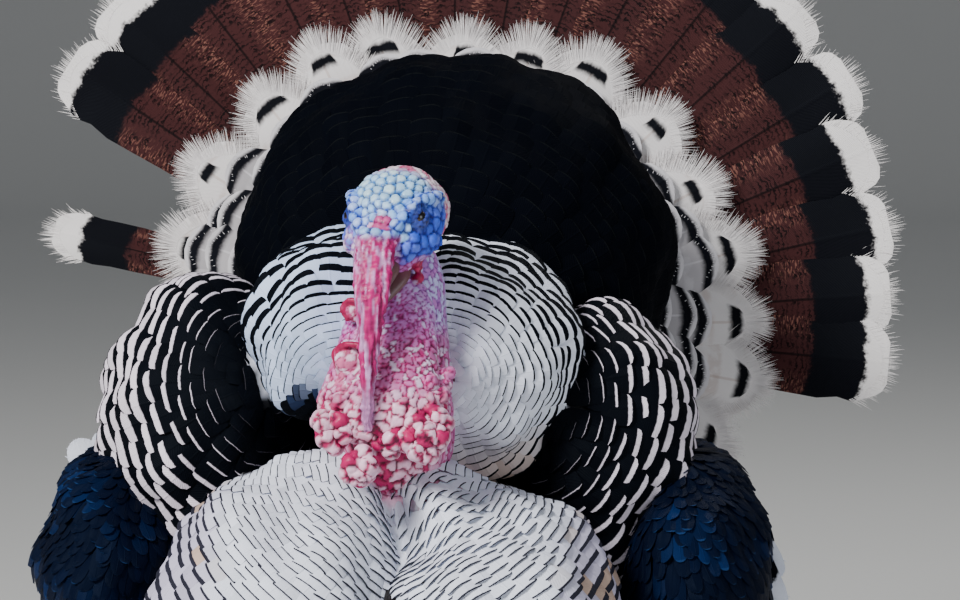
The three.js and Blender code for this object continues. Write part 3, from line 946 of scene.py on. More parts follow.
@dataclass(frozen=True)
class RuffTract(Tract):
    """The ruff beside the neck: plain near the neck, ever blacker towards the outer and upper rows."""

    low: Vec = WHITE  # the ground colour of the lowest feathers
    painted_shade_radius: float = 0.0  # the radius of the painted black shade in the hollow beside the throat
    painted_shade_middle: Vec = (-0.05, -0.08, 0.449)

    def height(self, roots: Array) -> Array:
        """Each root's height on the mass, from -1 at its foot to 1 at its top."""
        return (roots[:, 2] - self.lobe.centre[2]) / self.lobe.radii[2]

    def distance_to_painted_shade(self, roots: Array) -> Array:
        """Each root's distance from the middle of the painted shade in the hollow."""
        return np.linalg.norm((roots - self.painted_shade_middle) * [1.0, 0.0, 0.9], axis=1)

    def edge_widths(self, lot: Lot) -> Array:
        """The black tip, thin near the neck and wide at the back and the top.

        Args:
            lot: The tract's feathers.

        Returns:
            The tips, as shares of the feathers' length.
        """
        height = self.height(lot.roots)
        weight = smooth(0.04, 0.25, lot.share + 0.12 * height)
        plain = smooth(0.0, 0.05, lot.share)
        width = 0.004 + 0.046 * plain + 0.125 * weight + 0.035 * smooth(0.4, 0.85, height)
        return width * lot.drawn(0.9, 1.1)

    def dyes(self, lot: Lot) -> Array:
        """Each feather's ground colour, with painted shade in and round the hollow beside the throat.

        Args:
            lot: The tract's feathers.

        Returns:
            The colours.
        """
        lowness = smooth(-0.3, -0.8, self.height(lot.roots))[:, None]
        ground = blend((super().dyes(lot), np.array(self.low)), lowness)
        # Painted shade of the hollow: HOLLOW_BLUE round it, black inside it.
        if self.painted_shade_radius > 0:
            away = self.distance_to_painted_shade(lot.roots)[:, None]
            ground = blend((ground, np.array(HOLLOW_BLUE)), smooth(self.painted_shade_radius + 0.007, self.painted_shade_radius, away))
            ground = np.where(away < self.painted_shade_radius, BLACK, ground)
        return ground


@dataclass(frozen=True)
class WingTract(Tract):
    """The wing's coverts: near black, with patches of brighter blue that are painted sheen."""

    def patches(self, roots: Array) -> Array:
        """1 on the patches of painted sheen, 0 between them."""
        noise = Ripple(0.07, self.seed).at(roots) + 0.35 * Ripple(0.018, self.seed + 1).at(roots)
        return smooth(-0.6, 1.6, noise)

    def band_ends(self, lot: Lot) -> Array:
        """Where each feather's blue rim of painted sheen ends."""
        return super().band_ends(lot) * self.patches(lot.roots) * lot.drawn(0.0, 1.0)

    def dyes(self, lot: Lot) -> Array:
        """Each feather's ground colour: navy, bluer as painted sheen on the patches."""
        return shades(self.dye, self.patches(lot.roots) * lot.drawn(0.0, 1.0) ** 2)


@dataclass(frozen=True)
class ShieldTract(Tract):
    """The scapulars: black at the pole, partly as painted shade under the ruff, with a pale crescent inside
    each tip that grows outward.
    """

    def band_ends(self, lot: Lot) -> Array:
        """Where the crescent ends: at the edge near the pole, and ever further in."""
        # No crescent near the pole: painted shade where the ruff hangs over.
        start = self.edge[0] * 0.8
        return start + (self.band[1] - start) * smooth(0.06, 0.34, lot.share) * lot.drawn(0.9, 1.1)


@dataclass(frozen=True)
class BreastTract(Tract):
    """The breast: white in the middle, with broad lavender feathers at its sides."""

    sides: Pair = (0.088, 0.112)  # how far out from the middle the change begins and ends
    cleft_x: float = -0.006  # where the two lobes of the breast meet
    tans: float = 0.22  # the share of tan feathers among those of the sides

    def aside(self, roots: Array) -> Array:
        """1 at the breast's sides, 0 in its middle."""
        return smooth(*self.sides, np.abs(roots[:, 0]))

    def edge_widths(self, lot: Lot) -> Array:
        """The dark tip, fine in the middle and broad at the sides and in the cleft, where it is partly
        painted shade between feathers and between lobes.

        Args:
            lot: The tract's feathers.

        Returns:
            The tips, as shares of the feathers' length.
        """
        # Broader dark tips at the sides and in the cleft between the lobes: partly painted shade.
        in_cleft = smooth(0.045, 0.0, np.abs(lot.roots[:, 0] - self.cleft_x))
        width = blend(self.edge, lot.share) + 0.07 * self.aside(lot.roots) + 0.022 * in_cleft
        return width * lot.drawn(0.8, 1.2)

    def dyes(self, lot: Lot) -> Array:
        """Each feather's ground colour."""
        last = np.where(lot.drawn(0, 1)[:, None] < self.tans, TAN, LAVENDER)
        return blend((np.array(WHITE), last), self.aside(lot.roots)[:, None])


def coat_plan() -> list[tuple[Tract, Finish, str]]:
    """Every tract with its finish and its material slot."""
    black = (BLACK, BLACK)
    plan: list[tuple[Tract, Finish, str]] = []

    def add(kind: type[Tract], name: str, finish: Finish, slot: str, pole: Vec, **sizes: object) -> None:
        """Adds the tract on the mass of that name."""
        plan.append((kind(name=f"coat_{name}", lobe=LOBES[name], pole=pole, **sizes), finish, slot))

    for side, sign in SIDES.items():
        left = side == "left"
        add(
            BreastTract, f"breast_{side}", Finish.BREAST, "feather_white", (sign * 0.008, -0.1, 0.388),
            reach=(1.5, 160), spacing=(0.0043, 0.03), width=(0.0125, 0.056), growth=2.0,
            edge=(0.045, 0.05), vane=SQUARE, seed=31 + sign,
        )
        # The right ruff is dyed with painted shade: its shaded white, and the dark of the hollow beside the
        # throat.
        add(
            RuffTract, f"ruff_{side}", Finish.LACED, "feather_white",
            (0.029, -0.102, 0.478) if left else (-0.032, -0.098, 0.464), reach=(1.5, 160),
            spacing=(0.0038, 0.029), width=(0.011, 0.033), growth=1.5, untidy=3.5, vane=BLUNT,
            dye=(WHITE, WHITE) if left else (SHADED_RUFF_WHITE, SHADED_RUFF_WHITE),
            low=(0.6, 0.44, 0.35) if left else SHADED_RUFF_WHITE, painted_shade_radius=0.0 if left else 0.016, seed=41 + sign,
        )
        add(
            ShieldTract, f"scapulars_{side}", Finish.BANDED, "feather_edged",
            (0.078, -0.035, 0.452) if left else (-0.088, -0.03, 0.47), reach=(1.5, 165),
            spacing=(0.0066, 0.026), width=(0.015, 0.031), edge=(0.034, 0.034),
            band=(0.0, 0.16 if left else 0.2), lift=(0.004, 0.016), untidy=3.5, dye=black, seed=51 + sign,
        )
        add(
            WingTract, f"wing_{side}", Finish.COVERT, "wing_covert", (sign * 0.18, 0.01, 0.424),
            reach=(1.5, 170), spacing=(0.0075, 0.0165), width=(0.0078, 0.012), edge=(0.0, 0.0),
            band=(0.07, 0.055), vane=NARROW, untidy=7.0, dye=(NAVY, PAINTED_BLUE_SHEEN), seed=61 + sign,
        )
        add(
            Tract, f"thigh_{side}", Finish.GLOSSY, "feather_black", (sign * 0.075, 0.09, 0.29),
            reach=(20, 160), spacing=(0.011, 0.009), width=(0.015, 0.012), dye=black, seed=71 + sign,
        )
    add(
        Tract, "mantle", Finish.DEEP, "feather_black", (0.0, 0.0, 0.49), reach=(2, 165),
        spacing=(0.011, 0.015), width=(0.02, 0.028), edge=(0.02, 0.02), dye=black, seed=81,
    )
    add(
        Tract, "rump", Finish.BANDED, "feather_black", (0.0, 0.1, 0.45), reach=(20, 165),
        spacing=(0.013, 0.016), width=(0.022, 0.03), edge=(0.05, 0.05), band=(0.16, 0.2), dye=black,
        seed=82,
    )
    add(
        Tract, "trunk", Finish.GLOSSY, "feather_black", (0.0, -0.12, 0.29), reach=(15, 170),
        spacing=(0.013, 0.015), width=(0.02, 0.026), dye=black, seed=83,
    )
    add(
        Tract, "vent", Finish.FLUFF, "tail_covert", (0.0, 0.2, 0.27), reach=(12, 170),
        spacing=(0.013, 0.016), width=(0.022, 0.028), edge=(0.06, 0.08), dye=(SLATE, WHITE), seed=84,
    )
    add(
        Tract, "undertail", Finish.BANDED, "tail_covert", (0.0, 0.4, 0.31), reach=(12, 165),
        spacing=(0.015, 0.019), width=(0.028, 0.036), edge=(0.07, 0.09), band=(0.2, 0.24),
        dye=(SLATE, WHITE), seed=85,
    )
    return plan


def placed(name: str, data: bpy.types.ID) -> bpy.types.Object:
    """A new object of the scene.

    Args:
        name: The object's name.
        data: Its mesh, camera or light.

    Returns:
        The object.
    """
    thing = bpy.data.objects.new(name, data)
    bpy.context.scene.collection.objects.link(thing)
    return thing


class Bench:
    """Turns finished meshes into pieces of the bird, in the row frame."""

    @staticmethod
    def piece(
        name: str, mesh: Mesh, material: Material, slot: str, stands_for: tuple[str, ...] = (),
    ) -> bpy.types.Object:
        """One piece of the bird.

        Args:
            name: The piece's name.
            mesh: Its mesh, in the bird's own frame.
            material: Its finish.
            slot: The record's material slot; not used.
            stands_for: The solids that it replaces.

        Returns:
            The piece's object.
        """
        mesh.transform(Matrix.Translation(HOME))
        mesh.materials.clear()
        mesh.materials.append(material)
        piece = placed(name, mesh)
        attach(piece, "root")
        if stands_for:
            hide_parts(*stands_for)
        mesh.calc_loop_triangles()
        log.info("%s: %d triangles", name, len(mesh.loop_triangles))
        return piece


class Coat:
    """All the small feathers of the body, tract by tract."""

    def build(self) -> None:
        """Makes each tract's piece."""
        finishes: dict[Finish, Material] = {}
        for tract, finish, slot in coat_plan():
            if finish not in finishes:
                finishes[finish] = finish.value.material()
            others = [lobe for lobe in LOBES.values() if lobe is not tract.lobe]
            Bench.piece(tract.name, tract.lay(others).mesh(tract.name), finishes[finish], slot)


# ---------------- large feathers


@dataclass(frozen=True)
class Quill:
    """Where one large feather lies: its root and tip, the way it faces, and how it bends."""

    root: Array
    tip: Array
    facing: Array
    half_width: float
    bow: float = 0.0  # how far its middle stands out of the straight line, towards the facing side
    sweep: float = 0.0  # how far its tip bends sideways


@dataclass(frozen=True)
class Fringe:
    """The loose barbs round a feather's tip."""

    count: int
    reach: Pair  # their lengths
    spread: float  # how far the outermost turn away from the feather's line, in radians
    start: float = 0.9  # where along the feather the lowest ones leave it
    width: float = 0.0006


@dataclass(frozen=True)
class Row:
    """A row of large feathers of one kind, each with its own slightly different shape."""

    vane: Vane
    fringe: Fringe
    dye: Vec
    seed: int = 1
    splits: float = 0.05  # how ragged the outline is, as a share of half the width
    ripple: float = 0.0012  # how far the blade waves out of its plane

    PATCH = 0.09  # the width of a feather's patch on the bake map

    def piece(
        self, name: str, quills: list[Quill], home: Array | Vec, room: float, finish: Material, slot: str,
        *solids: str
    ) -> None:
        """Makes the row's piece.

        Args:
            name: The piece's name.
            quills: Where the feathers lie.
            home: The point round which their roots are mapped for the bake.
            room: The width of the mapped area.
            finish: The feathers' material.
            slot: The record's material slot.
            solids: The solids that the piece replaces.
        """
        Bench.piece(name, self.lay(quills, home, room).mesh(name), finish, slot, solids)

    def lay(self, quills: list[Quill], home: Array | Vec, room: float) -> Batch:
        """Builds the row's feathers.

        Args:
            quills: Where the feathers lie.
            home: The point round which their roots are mapped for the bake.
            room: The width of the mapped area.

        Returns:
            The batch of feathers and their loose barbs.
        """
        rng = np.random.default_rng(self.seed)
        batch = Batch()
        for quill in quills:
            along = quill.tip - quill.root
            length = float(np.linalg.norm(along))
            along = along / length
            across = unit(np.cross(along, quill.facing))
            face = np.cross(across, along)
            random = rng.uniform(0, 1)
            marks = np.array([[length, quill.half_width, random]])
            dye = np.array([self.dye]) * rng.uniform(0.92, 1.06)
            spot = self.spot(quill, along, home, room)
            frame_of = (quill, along, across, face, length)
            u, v = self.vane.grid()
            raggedness = 1 - self.splits * np.abs(np.sin(v * 37 + random * 9 + np.sign(u) * 2)) * (v > 0.35)
            spread = u * self.vane.half_widths() * raggedness
            top = self.bent(frame_of, spread, v, random)[None]
            up = np.broadcast_to(face, top.shape)
            batch.add(self.vane.chunk(top, up, marks, dye, spot, self.PATCH))
            batch.add(self.barbs(frame_of, marks, dye, spot, rng))
        return batch

    @staticmethod
    def spot(quill: Quill, along: Array, home: Array, room: float) -> Array:
        """The root's place on the map."""
        flat = (quill.root + along * 0.05 - home)[[0, 2]] / room
        return np.clip(0.5 + flat, 0.04, 0.96)[None]

    def bent(self, frame_of: tuple, spread: Array, v: Array, random: float) -> Array:
        """Corners of the blade after its bow, its sweep and its slight waves.

        Args:
            frame_of: The quill, its three directions and its length.
            spread: Each corner's share of half the width.
            v: Each corner's share of the length.
            random: The feather's own random number.

        Returns:
            The corners' places.
        """
        quill, along, across, face, length = frame_of
        lift = 4 * quill.bow * v * (1 - v) - quill.half_width * self.vane.camber * spread**2 * v
        lift = lift + self.ripple * np.sin(spread * 2.6 + v * 11 + random * TAU) * v
        aside = quill.sweep * v**2 + quill.half_width * spread
        middle = quill.root + along * (length * v)[..., None]
        return middle + across * aside[..., None] + face * lift[..., None]

    def barbs(self, frame_of: tuple, marks: Array, dye: Array, spot: Array, rng: Random) -> Chunk:
        """Loose three-sided barbs round the tip, each tapering to a point.

        Args:
            frame_of: The quill, its three directions and its length.
            marks: What the feather carries.
            dye: Its ground colour.
            spot: Its root's place on the bake map.
            rng: Draws the differences between the feathers.

        Returns:
            The chunk of barbs.
        """
        _, along, across, face, _ = frame_of
        fringe, n = self.fringe, self.fringe.count
        side = np.linspace(-1, 1, n) + rng.normal(0, 0.6 / n, n)
        low = np.abs(side) ** 3
        start = 1 - (1 - fringe.start) * (0.06 + 0.94 * low)
        inner = np.interp(start, self.vane.rows, self.vane.widths)
        foot = self.bent(frame_of, np.clip(side, -1, 1) * inner * 0.96, start - 0.012, marks[0, 2])
        turn = side * fringe.spread + rng.normal(0, 0.05, n)
        way = along * np.cos(turn)[:, None] + across * np.sin(turn)[:, None]
        reach = rng.uniform(*fringe.reach, n) * (0.75 + 0.25 * rng.uniform(0, 1, n))
        beside = np.cross(way, face)
        curl = face * (rng.normal(-0.1, 0.12, n) * reach)[:, None]
        rings = []
        for station, size in ((0.0, 1.0), (0.55, 0.8), (1.0, 0.16)):
            middle = foot + way * (reach * station)[:, None] + curl * station**2
            half = fringe.width * size / 2
            aside = beside * half
            rings.append(np.stack([middle - aside, middle + aside, middle + face * half * 0.8], 1))
        points = np.concatenate(rings, 1)
        faces = [(0, 2, 1), (6, 7, 8)]
        for ring in (0, 3):
            for i in range(3):
                j = (i + 1) % 3
                faces.append((ring + i, ring + j, ring + 3 + j, ring + 3 + i))
        along_map = np.tile([[0.5, 0.99]], (9, 1))
        along_map[6:, 1] = 1.0
        return Chunk(
            points=points, faces=faces, along=along_map, marks=np.tile(marks, (n, 1)),
            dye=np.tile(dye, (n, 1)), root=np.tile(spot, (n, 1)), patch=self.PATCH, rim=np.ones(9, bool),
        )


@dataclass(frozen=True)
class TailFinish:
    """The finish of the tail's large feathers: bands at set distances from the tip."""

    name: str
    tip: Vec
    tip_depth: float  # how far the pale tip reaches
    band: Vec
    band_depth: float  # how far the dark band reaches
    bars: Vec = (0.02, 0.012, 0.012)  # the fine dark lines over the ground colour
    bar_pitch: float = 0.0042
    bar_strength: float = 0.75
    ragged: float = 0.012  # how far the bands' borders wander
    fleck: Vec = (0.0, 0.0, 0.0)  # the bright flecks between the dark lines near the edges, or black for none
    uneven: float = 0.0  # how much deeper some feathers' tips reach than others
    spot: float = 0.0  # half the length of the bar to which the band is shortened, or 0
    shaft: float = 0.8  # how dark the shaft's line is
    gloss: Gloss = FEATHER_GLOSS

    def material(self) -> Material:
        """Builds the material."""
        material, tree, shader = new_material(self.name, self.gloss)
        given = FeatherInputs.of(tree)
        length, half, random = given.marks
        aside = tree.mul(given.middle, half)
        from_tip = tree.mul(tree.less(1.0, given.along), length)
        spot = tree.point(aside, from_tip, tree.mul(random, 3.0))
        coarse = tree.less(tree.noise(spot, 110.0, 3.0), 0.5)
        fine = tree.less(tree.noise(spot, 420.0, 2.0), 0.5)
        curved = tree.less(from_tip, tree.mul(given.across, given.across, 0.006))
        wavy = tree.plus(curved, tree.mul(coarse, self.ragged), tree.mul(fine, self.ragged / 2))
        lines = tree.step(tree.math("SINE", tree.mul(wavy, TAU / self.bar_pitch)), 0.0, 0.8)
        lines = tree.mul(lines, tree.step(coarse, -0.16, 0.12), self.bar_strength)
        ground = given.dye
        if max(self.fleck) > 0:
            dashes = tree.step(tree.noise(tree.stretched(spot, (0.45, 1.9, 1.0)), 420.0, 1.0), 0.52, 0.62)
            outer = tree.mul(tree.step(given.across, 0.3, 0.95), dashes)
            ground = tree.mix(outer, ground, self.fleck)
        ground = tree.mix(lines, ground, self.bars)
        shaft = tree.less(1.0, tree.step(given.across, 0.015, 0.05))
        ground = tree.mix(tree.mul(shaft, self.shaft), ground, self.bars)
        in_band = self.before(tree, wavy, self.band_depth, 0.003)
        if self.spot:
            reach = tree.plus(tree.math("ABSOLUTE", aside), tree.mul(coarse, 0.006))
            reach = tree.math("DIVIDE", reach, tree.plus(0.55, tree.mul(random, 0.6)))
            narrow = tree.less(1.0, tree.step(reach, self.spot - 0.002, self.spot + 0.001))
            in_band = tree.mul(in_band, narrow)
        banded = tree.mix(in_band, ground, self.band)
        reached = tree.less(wavy, tree.mul(tree.less(random, 0.5), self.uneven))
        tipped = tree.mix(self.before(tree, reached, self.tip_depth, 0.0025), banded, self.tip)
        given.finish(tree, shader, tipped, 120.0, (0.5, 0.0004))
        return material

    @staticmethod
    def before(tree: Tree, value: object, limit: float, soft: float) -> Socket:
        """1 below a limit and 0 above it, with a soft step to both sides."""
        return tree.less(1.0, tree.step(value, limit - soft, limit + soft))


def bowed(points: Array, count: int) -> Array:
    """Evenly stepped points along a smooth line through the given ones.

    Args:
        points: The given points, or rows of numbers.
        count: How many points are wanted.

    Returns:
        The points.
    """
    points = np.asarray(points, float)
    padded = np.concatenate([[2 * points[0] - points[1]], points, [2 * points[-1] - points[-2]]])
    places = np.linspace(0, len(points) - 1, count)
    whole = np.minimum(places.astype(int), len(points) - 2)
    t = (places - whole)[:, None]
    a, b, c, d = (padded[whole + k] for k in range(4))
    return 0.5 * (2 * b + (c - a) * t + (2 * a - 5 * b + 4 * c - d) * t**2 + (3 * b - a - 3 * c + d) * t**3)


RECTRIX = Vane(
    rows=(0.0, 0.16, 0.32, 0.46, 0.58, 0.68, 0.76, 0.83, 0.88, 0.92, 0.95, 0.975, 0.99, 1.0),
    widths=(0.14, 0.36, 0.52, 0.66, 0.78, 0.88, 0.94, 0.98, 1.0, 1.0, 0.97, 0.87, 0.72, 0.5), across=9,
    camber=0.07, thickness=0.0008,
)
TAIL_COVERT = Vane(
    rows=(0.0, 0.3, 0.5, 0.64, 0.75, 0.83, 0.89, 0.935, 0.965, 0.988, 1.0),
    widths=(0.3, 0.72, 0.9, 0.98, 1.0, 0.97, 0.9, 0.78, 0.62, 0.4, 0.16), across=7, camber=0.14,
    thickness=0.0007,
)
FLIGHT = Vane(
    rows=(0.0, 0.2, 0.4, 0.6, 0.75, 0.86, 0.93, 0.97, 1.0),
    widths=(0.5, 0.75, 0.92, 1.0, 1.0, 0.93, 0.78, 0.56, 0.25), across=7, camber=0.18, thickness=0.0008,
)


@dataclass(frozen=True)
class Tail:
    """The fan, its two sizes of coverts, and one outer feather that hangs apart."""

    centre: Vec = (0.0, 0.352, 0.471)
    lean: float = 4.0
    count: int = 17
    reach: Pair = (-5.0, 146.0)
    side_radius: float = 0.348
    top_radius: float = 0.384
    half_width: float = 0.034
    root: float = 0.03  # how far from the middle the fan's feathers begin
    stagger: float = 0.0011  # how much further back each lies than its neighbour towards the middle
    apart: Vec = (167.0, 0.326, 0.02)  # the outer feather's angle, reach and half width

    def place(self, radius: float, angle: float, depth: float) -> Array:
        """The point at a distance from the fan's middle, at an angle, and behind its plane by a depth.

        Args:
            radius: The distance.
            angle: The angle, in degrees.
            depth: How far behind the plane.

        Returns:
            The point.
        """
        turn, lean = radians(angle), radians(self.lean)
        x, y, z = radius * cos(turn), depth, radius * sin(turn)
        return np.array(self.centre) + np.array(
            [x, y * cos(lean) + z * sin(lean), z * cos(lean) - y * sin(lean)]
        )

    def quill(
        self, angle: float, inner: float, radius: float, depth: float, half: float, bow: float,
    ) -> Quill:
        """A feather of the fan, from a distance to another along one angle."""
        ends = self.place(inner, angle, depth), self.place(radius, angle, depth)
        return Quill(*ends, facing=np.array([0.0, -1.0, 0.0]), half_width=half, bow=bow)

    def build(self) -> None:
        """Makes the tail's pieces."""
        self.fan()
        self.long_coverts()
        self.short_coverts()

    def fan(self) -> None:
        """The tail feathers: bronze with fine bars, a black band and a white tip."""
        rng = np.random.default_rng(5)
        quills = []
        middle = (self.count - 1) / 2
        for i in range(self.count):
            angle = float(blend(self.reach, i / (self.count - 1))) + rng.uniform(-0.8, 0.8)
            rise = min(1.0, 1.25 * max(0.0, sin(radians(angle))))
            radius = blend((self.side_radius, self.top_radius), rise) * rng.uniform(0.985, 1.0)
            depth = self.stagger * abs(i - middle)
            quills.append(self.quill(angle, self.root, radius, depth, self.half_width, -0.004))
        angle, radius, half = self.apart
        quills.append(self.quill(angle, self.root, radius, 0.004, half, 0.0))
        row = Row(
            RECTRIX, Fringe(110, (0.006, 0.02), 0.45, 0.92), (0.05, 0.0165, 0.0165), seed=6, splits=0.1
        )
        finish = TailFinish(
            "bronze tail feather", (0.84, 0.81, 0.8), 0.017, (0.004, 0.004, 0.006), 0.061,
            bars=(0.005, 0.003, 0.003), bar_strength=0.92, fleck=(0.19, 0.08, 0.06), uneven=0.014,
        )
        row.piece("tail_feathers", quills, self.centre, 0.9, finish.material(), "tail_feather", "tail_fan")

    def long_coverts(self) -> None:
        """The long upper tail coverts: white, with a short dark bar near the frayed tip."""
        rng = np.random.default_rng(8)
        quills = []
        for i, angle in enumerate(np.linspace(-27, 161, 14)):
            radius = 0.244 * rng.uniform(0.94, 1.04)
            turned = float(angle) + rng.uniform(-3.0, 3.0)
            depth = -0.01 - 0.0012 * (i % 3)
            quills.append(self.quill(turned, 0.04, radius, depth, 0.036 * rng.uniform(0.92, 1.08), 0.003))
        row = Row(
            TAIL_COVERT, Fringe(330, (0.017, 0.026), 1.15, 0.72), (0.76, 0.73, 0.73), seed=9, splits=0.08
        )
        finish = TailFinish(
            "white tail covert", (0.8, 0.77, 0.77), 0.009, (0.004, 0.004, 0.006), 0.0185,
            bars=(0.4, 0.26, 0.2), bar_pitch=0.03, bar_strength=0.3, ragged=0.004, spot=0.018, shaft=0.35,
        )
        made = finish.material()
        row.piece("tail_coverts_long", quills, self.centre, 0.7, made, "tail_covert", "tail_coverts")

    def short_coverts(self) -> None:
        """The short upper tail coverts: grey, with a dark band inside a pale edge, in three rows."""
        rng = np.random.default_rng(12)
        quills = []
        for row_index, radius in enumerate((0.214, 0.196, 0.178)):
            for angle in np.linspace(-34, 200, 21 - row_index):
                turned = float(angle) + rng.uniform(-2.5, 2.5)
                length = radius * rng.uniform(0.96, 1.03)
                depth = -0.022 - 0.006 * row_index
                quills.append(self.quill(turned, 0.05, length, depth, 0.027, 0.004))
        row = Row(TAIL_COVERT, Fringe(24, (0.001, 0.003), 0.9, 0.8), (0.46, 0.44, 0.46), seed=13)
        finish = TailFinish(
            "grey tail covert", (0.7, 0.68, 0.71), 0.0032, (0.005, 0.005, 0.008), 0.0125,
            bars=(0.64, 0.62, 0.65), bar_pitch=0.02, bar_strength=0.5, ragged=0.003,
        )
        made = finish.material()
        row.piece("tail_coverts_banded", quills, self.centre, 0.6, made, "tail_covert", "tail_coverts_short")


@dataclass(frozen=True)
class FlightFeathers:
    """The long feathers of one lowered wing, which fan out below and behind the coverts."""

    name: str
    solid: str
    count: int
    half_width: float
    root_angles: Pair
    tips: tuple[Pair, ...]
    root_share: float = 0.72
    out: float = 0.03
    slope: float = 0.09
    stagger: float = 0.0012  # how far apart the layers of neighbouring feathers lie
    bow: float = 0.007
    sweep: float = 0.004
    seed: int = 1

    def build(self, side: str, material: Material) -> None:
        """Makes the piece of one side.

        Args:
            side: "left" or "right".
            material: The finish.
        """
        sign, wing = SIDES[side], LOBES[f"wing_{side}"]
        centre, radii = np.array(wing.centre), np.array(wing.radii)
        tips = bowed(np.array(self.tips) - centre[1:], self.count)
        quills = []
        for i, (tip_y, tip_z) in enumerate(tips):
            angle = radians(blend(self.root_angles, i / (self.count - 1)))
            root_y = radii[1] * self.root_share * cos(angle)
            root_z = radii[2] * self.root_share * sin(angle)
            layer = self.out + self.stagger * (i % 3)
            ends = [
                centre + np.array([sign * (layer - z * self.slope), y, z])
                for y, z in ((root_y, root_z), (tip_y, tip_z))
            ]
            facing = np.array([sign * 1.0, 0.0, self.slope])
            quills.append(Quill(*ends, facing, self.half_width, self.bow, self.sweep * sign))
        row = Row(FLIGHT, Fringe(16, (0.001, 0.003), 0.5, 0.9), (0.1, 0.11, 0.13), seed=self.seed)
        home = centre + np.array([0.0, 0.05, -0.1])
        name = f"{self.name}_{side}"
        row.piece(name, quills, home, 0.5, material, "flight_feather", f"{self.solid}_{side}")


PRIMARIES = FlightFeathers(
    name="wing_primaries", solid="primaries", count=10, half_width=0.0175, root_angles=(-128.0, -72.0),
    tips=((0.034, 0.016), (0.092, 0.016), (0.15, 0.026), (0.196, 0.046)), seed=21,
)
SECONDARIES = FlightFeathers(
    name="wing_secondaries", solid="secondaries", count=13, half_width=0.026, root_angles=(-60.0, 30.0),
    tips=((0.212, 0.062), (0.258, 0.124), (0.284, 0.196), (0.292, 0.272), (0.284, 0.342)), seed=22,
)


# Pale-tipped coverts that stand out of each wing's outline: their roots, tips and half widths.
PALE_COVERTS: dict[str, tuple[tuple[Vec, Vec, float], ...]] = {
    "right": (
        ((-0.222, 0.104, 0.35), (-0.254, 0.104, 0.409), 0.0125),
        ((-0.214, 0.112, 0.35), (-0.238, 0.112, 0.414), 0.0105),
    ),
    "left": (
        ((0.236, 0.056, 0.352), (0.258, 0.05, 0.3), 0.009),
        ((0.232, 0.064, 0.37), (0.257, 0.06, 0.322), 0.008),
    ),
}


@dataclass(frozen=True)
class Wings:
    """The flight feathers of both wings."""

    primaries: FlightFeathers = PRIMARIES
    secondaries: FlightFeathers = SECONDARIES

    def pale_coverts(self) -> None:
        """Makes the pale-tipped coverts of both wings."""
        quills = [
            Quill(np.array(root), np.array(tip), np.array([0.0, -1.0, 0.15]), half, bow=0.003)
            for side in SIDES
            for root, tip, half in PALE_COVERTS[side]
        ]
        row = Row(FLIGHT, Fringe(14, (0.001, 0.004), 0.7, 0.88), BLACK, seed=23)
        finish = TailFinish("pale-tipped covert", WHITE, 0.02, BLACK, 0.03, bars=NAVY)
        row.piece("wing_pale_coverts", quills, (0.0, 0.08, 0.36), 0.6, finish.material(), "wing_covert")

    def build(self) -> None:
        """Makes the pieces."""
        self.pale_coverts()
        finish = TailFinish(
            "barred flight feather", (0.7, 0.68, 0.68), 0.006, (0.012, 0.014, 0.02), 0.02,
            bars=(0.55, 0.54, 0.54), bar_pitch=0.016, bar_strength=0.85,
        )
        material = finish.material()
        for side in SIDES:
            for feathers in (self.primaries, self.secondaries):
                feathers.build(side, material)


# ---------------- bare flesh

Station = tuple[float, float, float, float, float]  # a limb's middle, its half width and its half depth

# The head's own frame: X to the bird's left, -Y out along the bill, Z out of the crown.
HEAD = (
    Matrix.Translation((0.0015, -0.122, 0.585))
    @ Matrix.Rotation(radians(-16), 4, "Z")
    @ Matrix.Rotation(radians(45), 4, "X")
)
WHOLE = Matrix.Identity(4)
# The left eye, in the head's frame.
EYE_AT: Vec = (0.0215, -0.01, 0.0135)
EYE_OUT: Vec = (0.754, -0.225, 0.617)
EYE_RADIUS = 0.007


def moved(place: Matrix, points: Array) -> Array:
    """Points brought out of a frame."""
    matrix = np.array(place)
    return np.asarray(points) @ matrix[:3, :3].T + matrix[:3, 3]


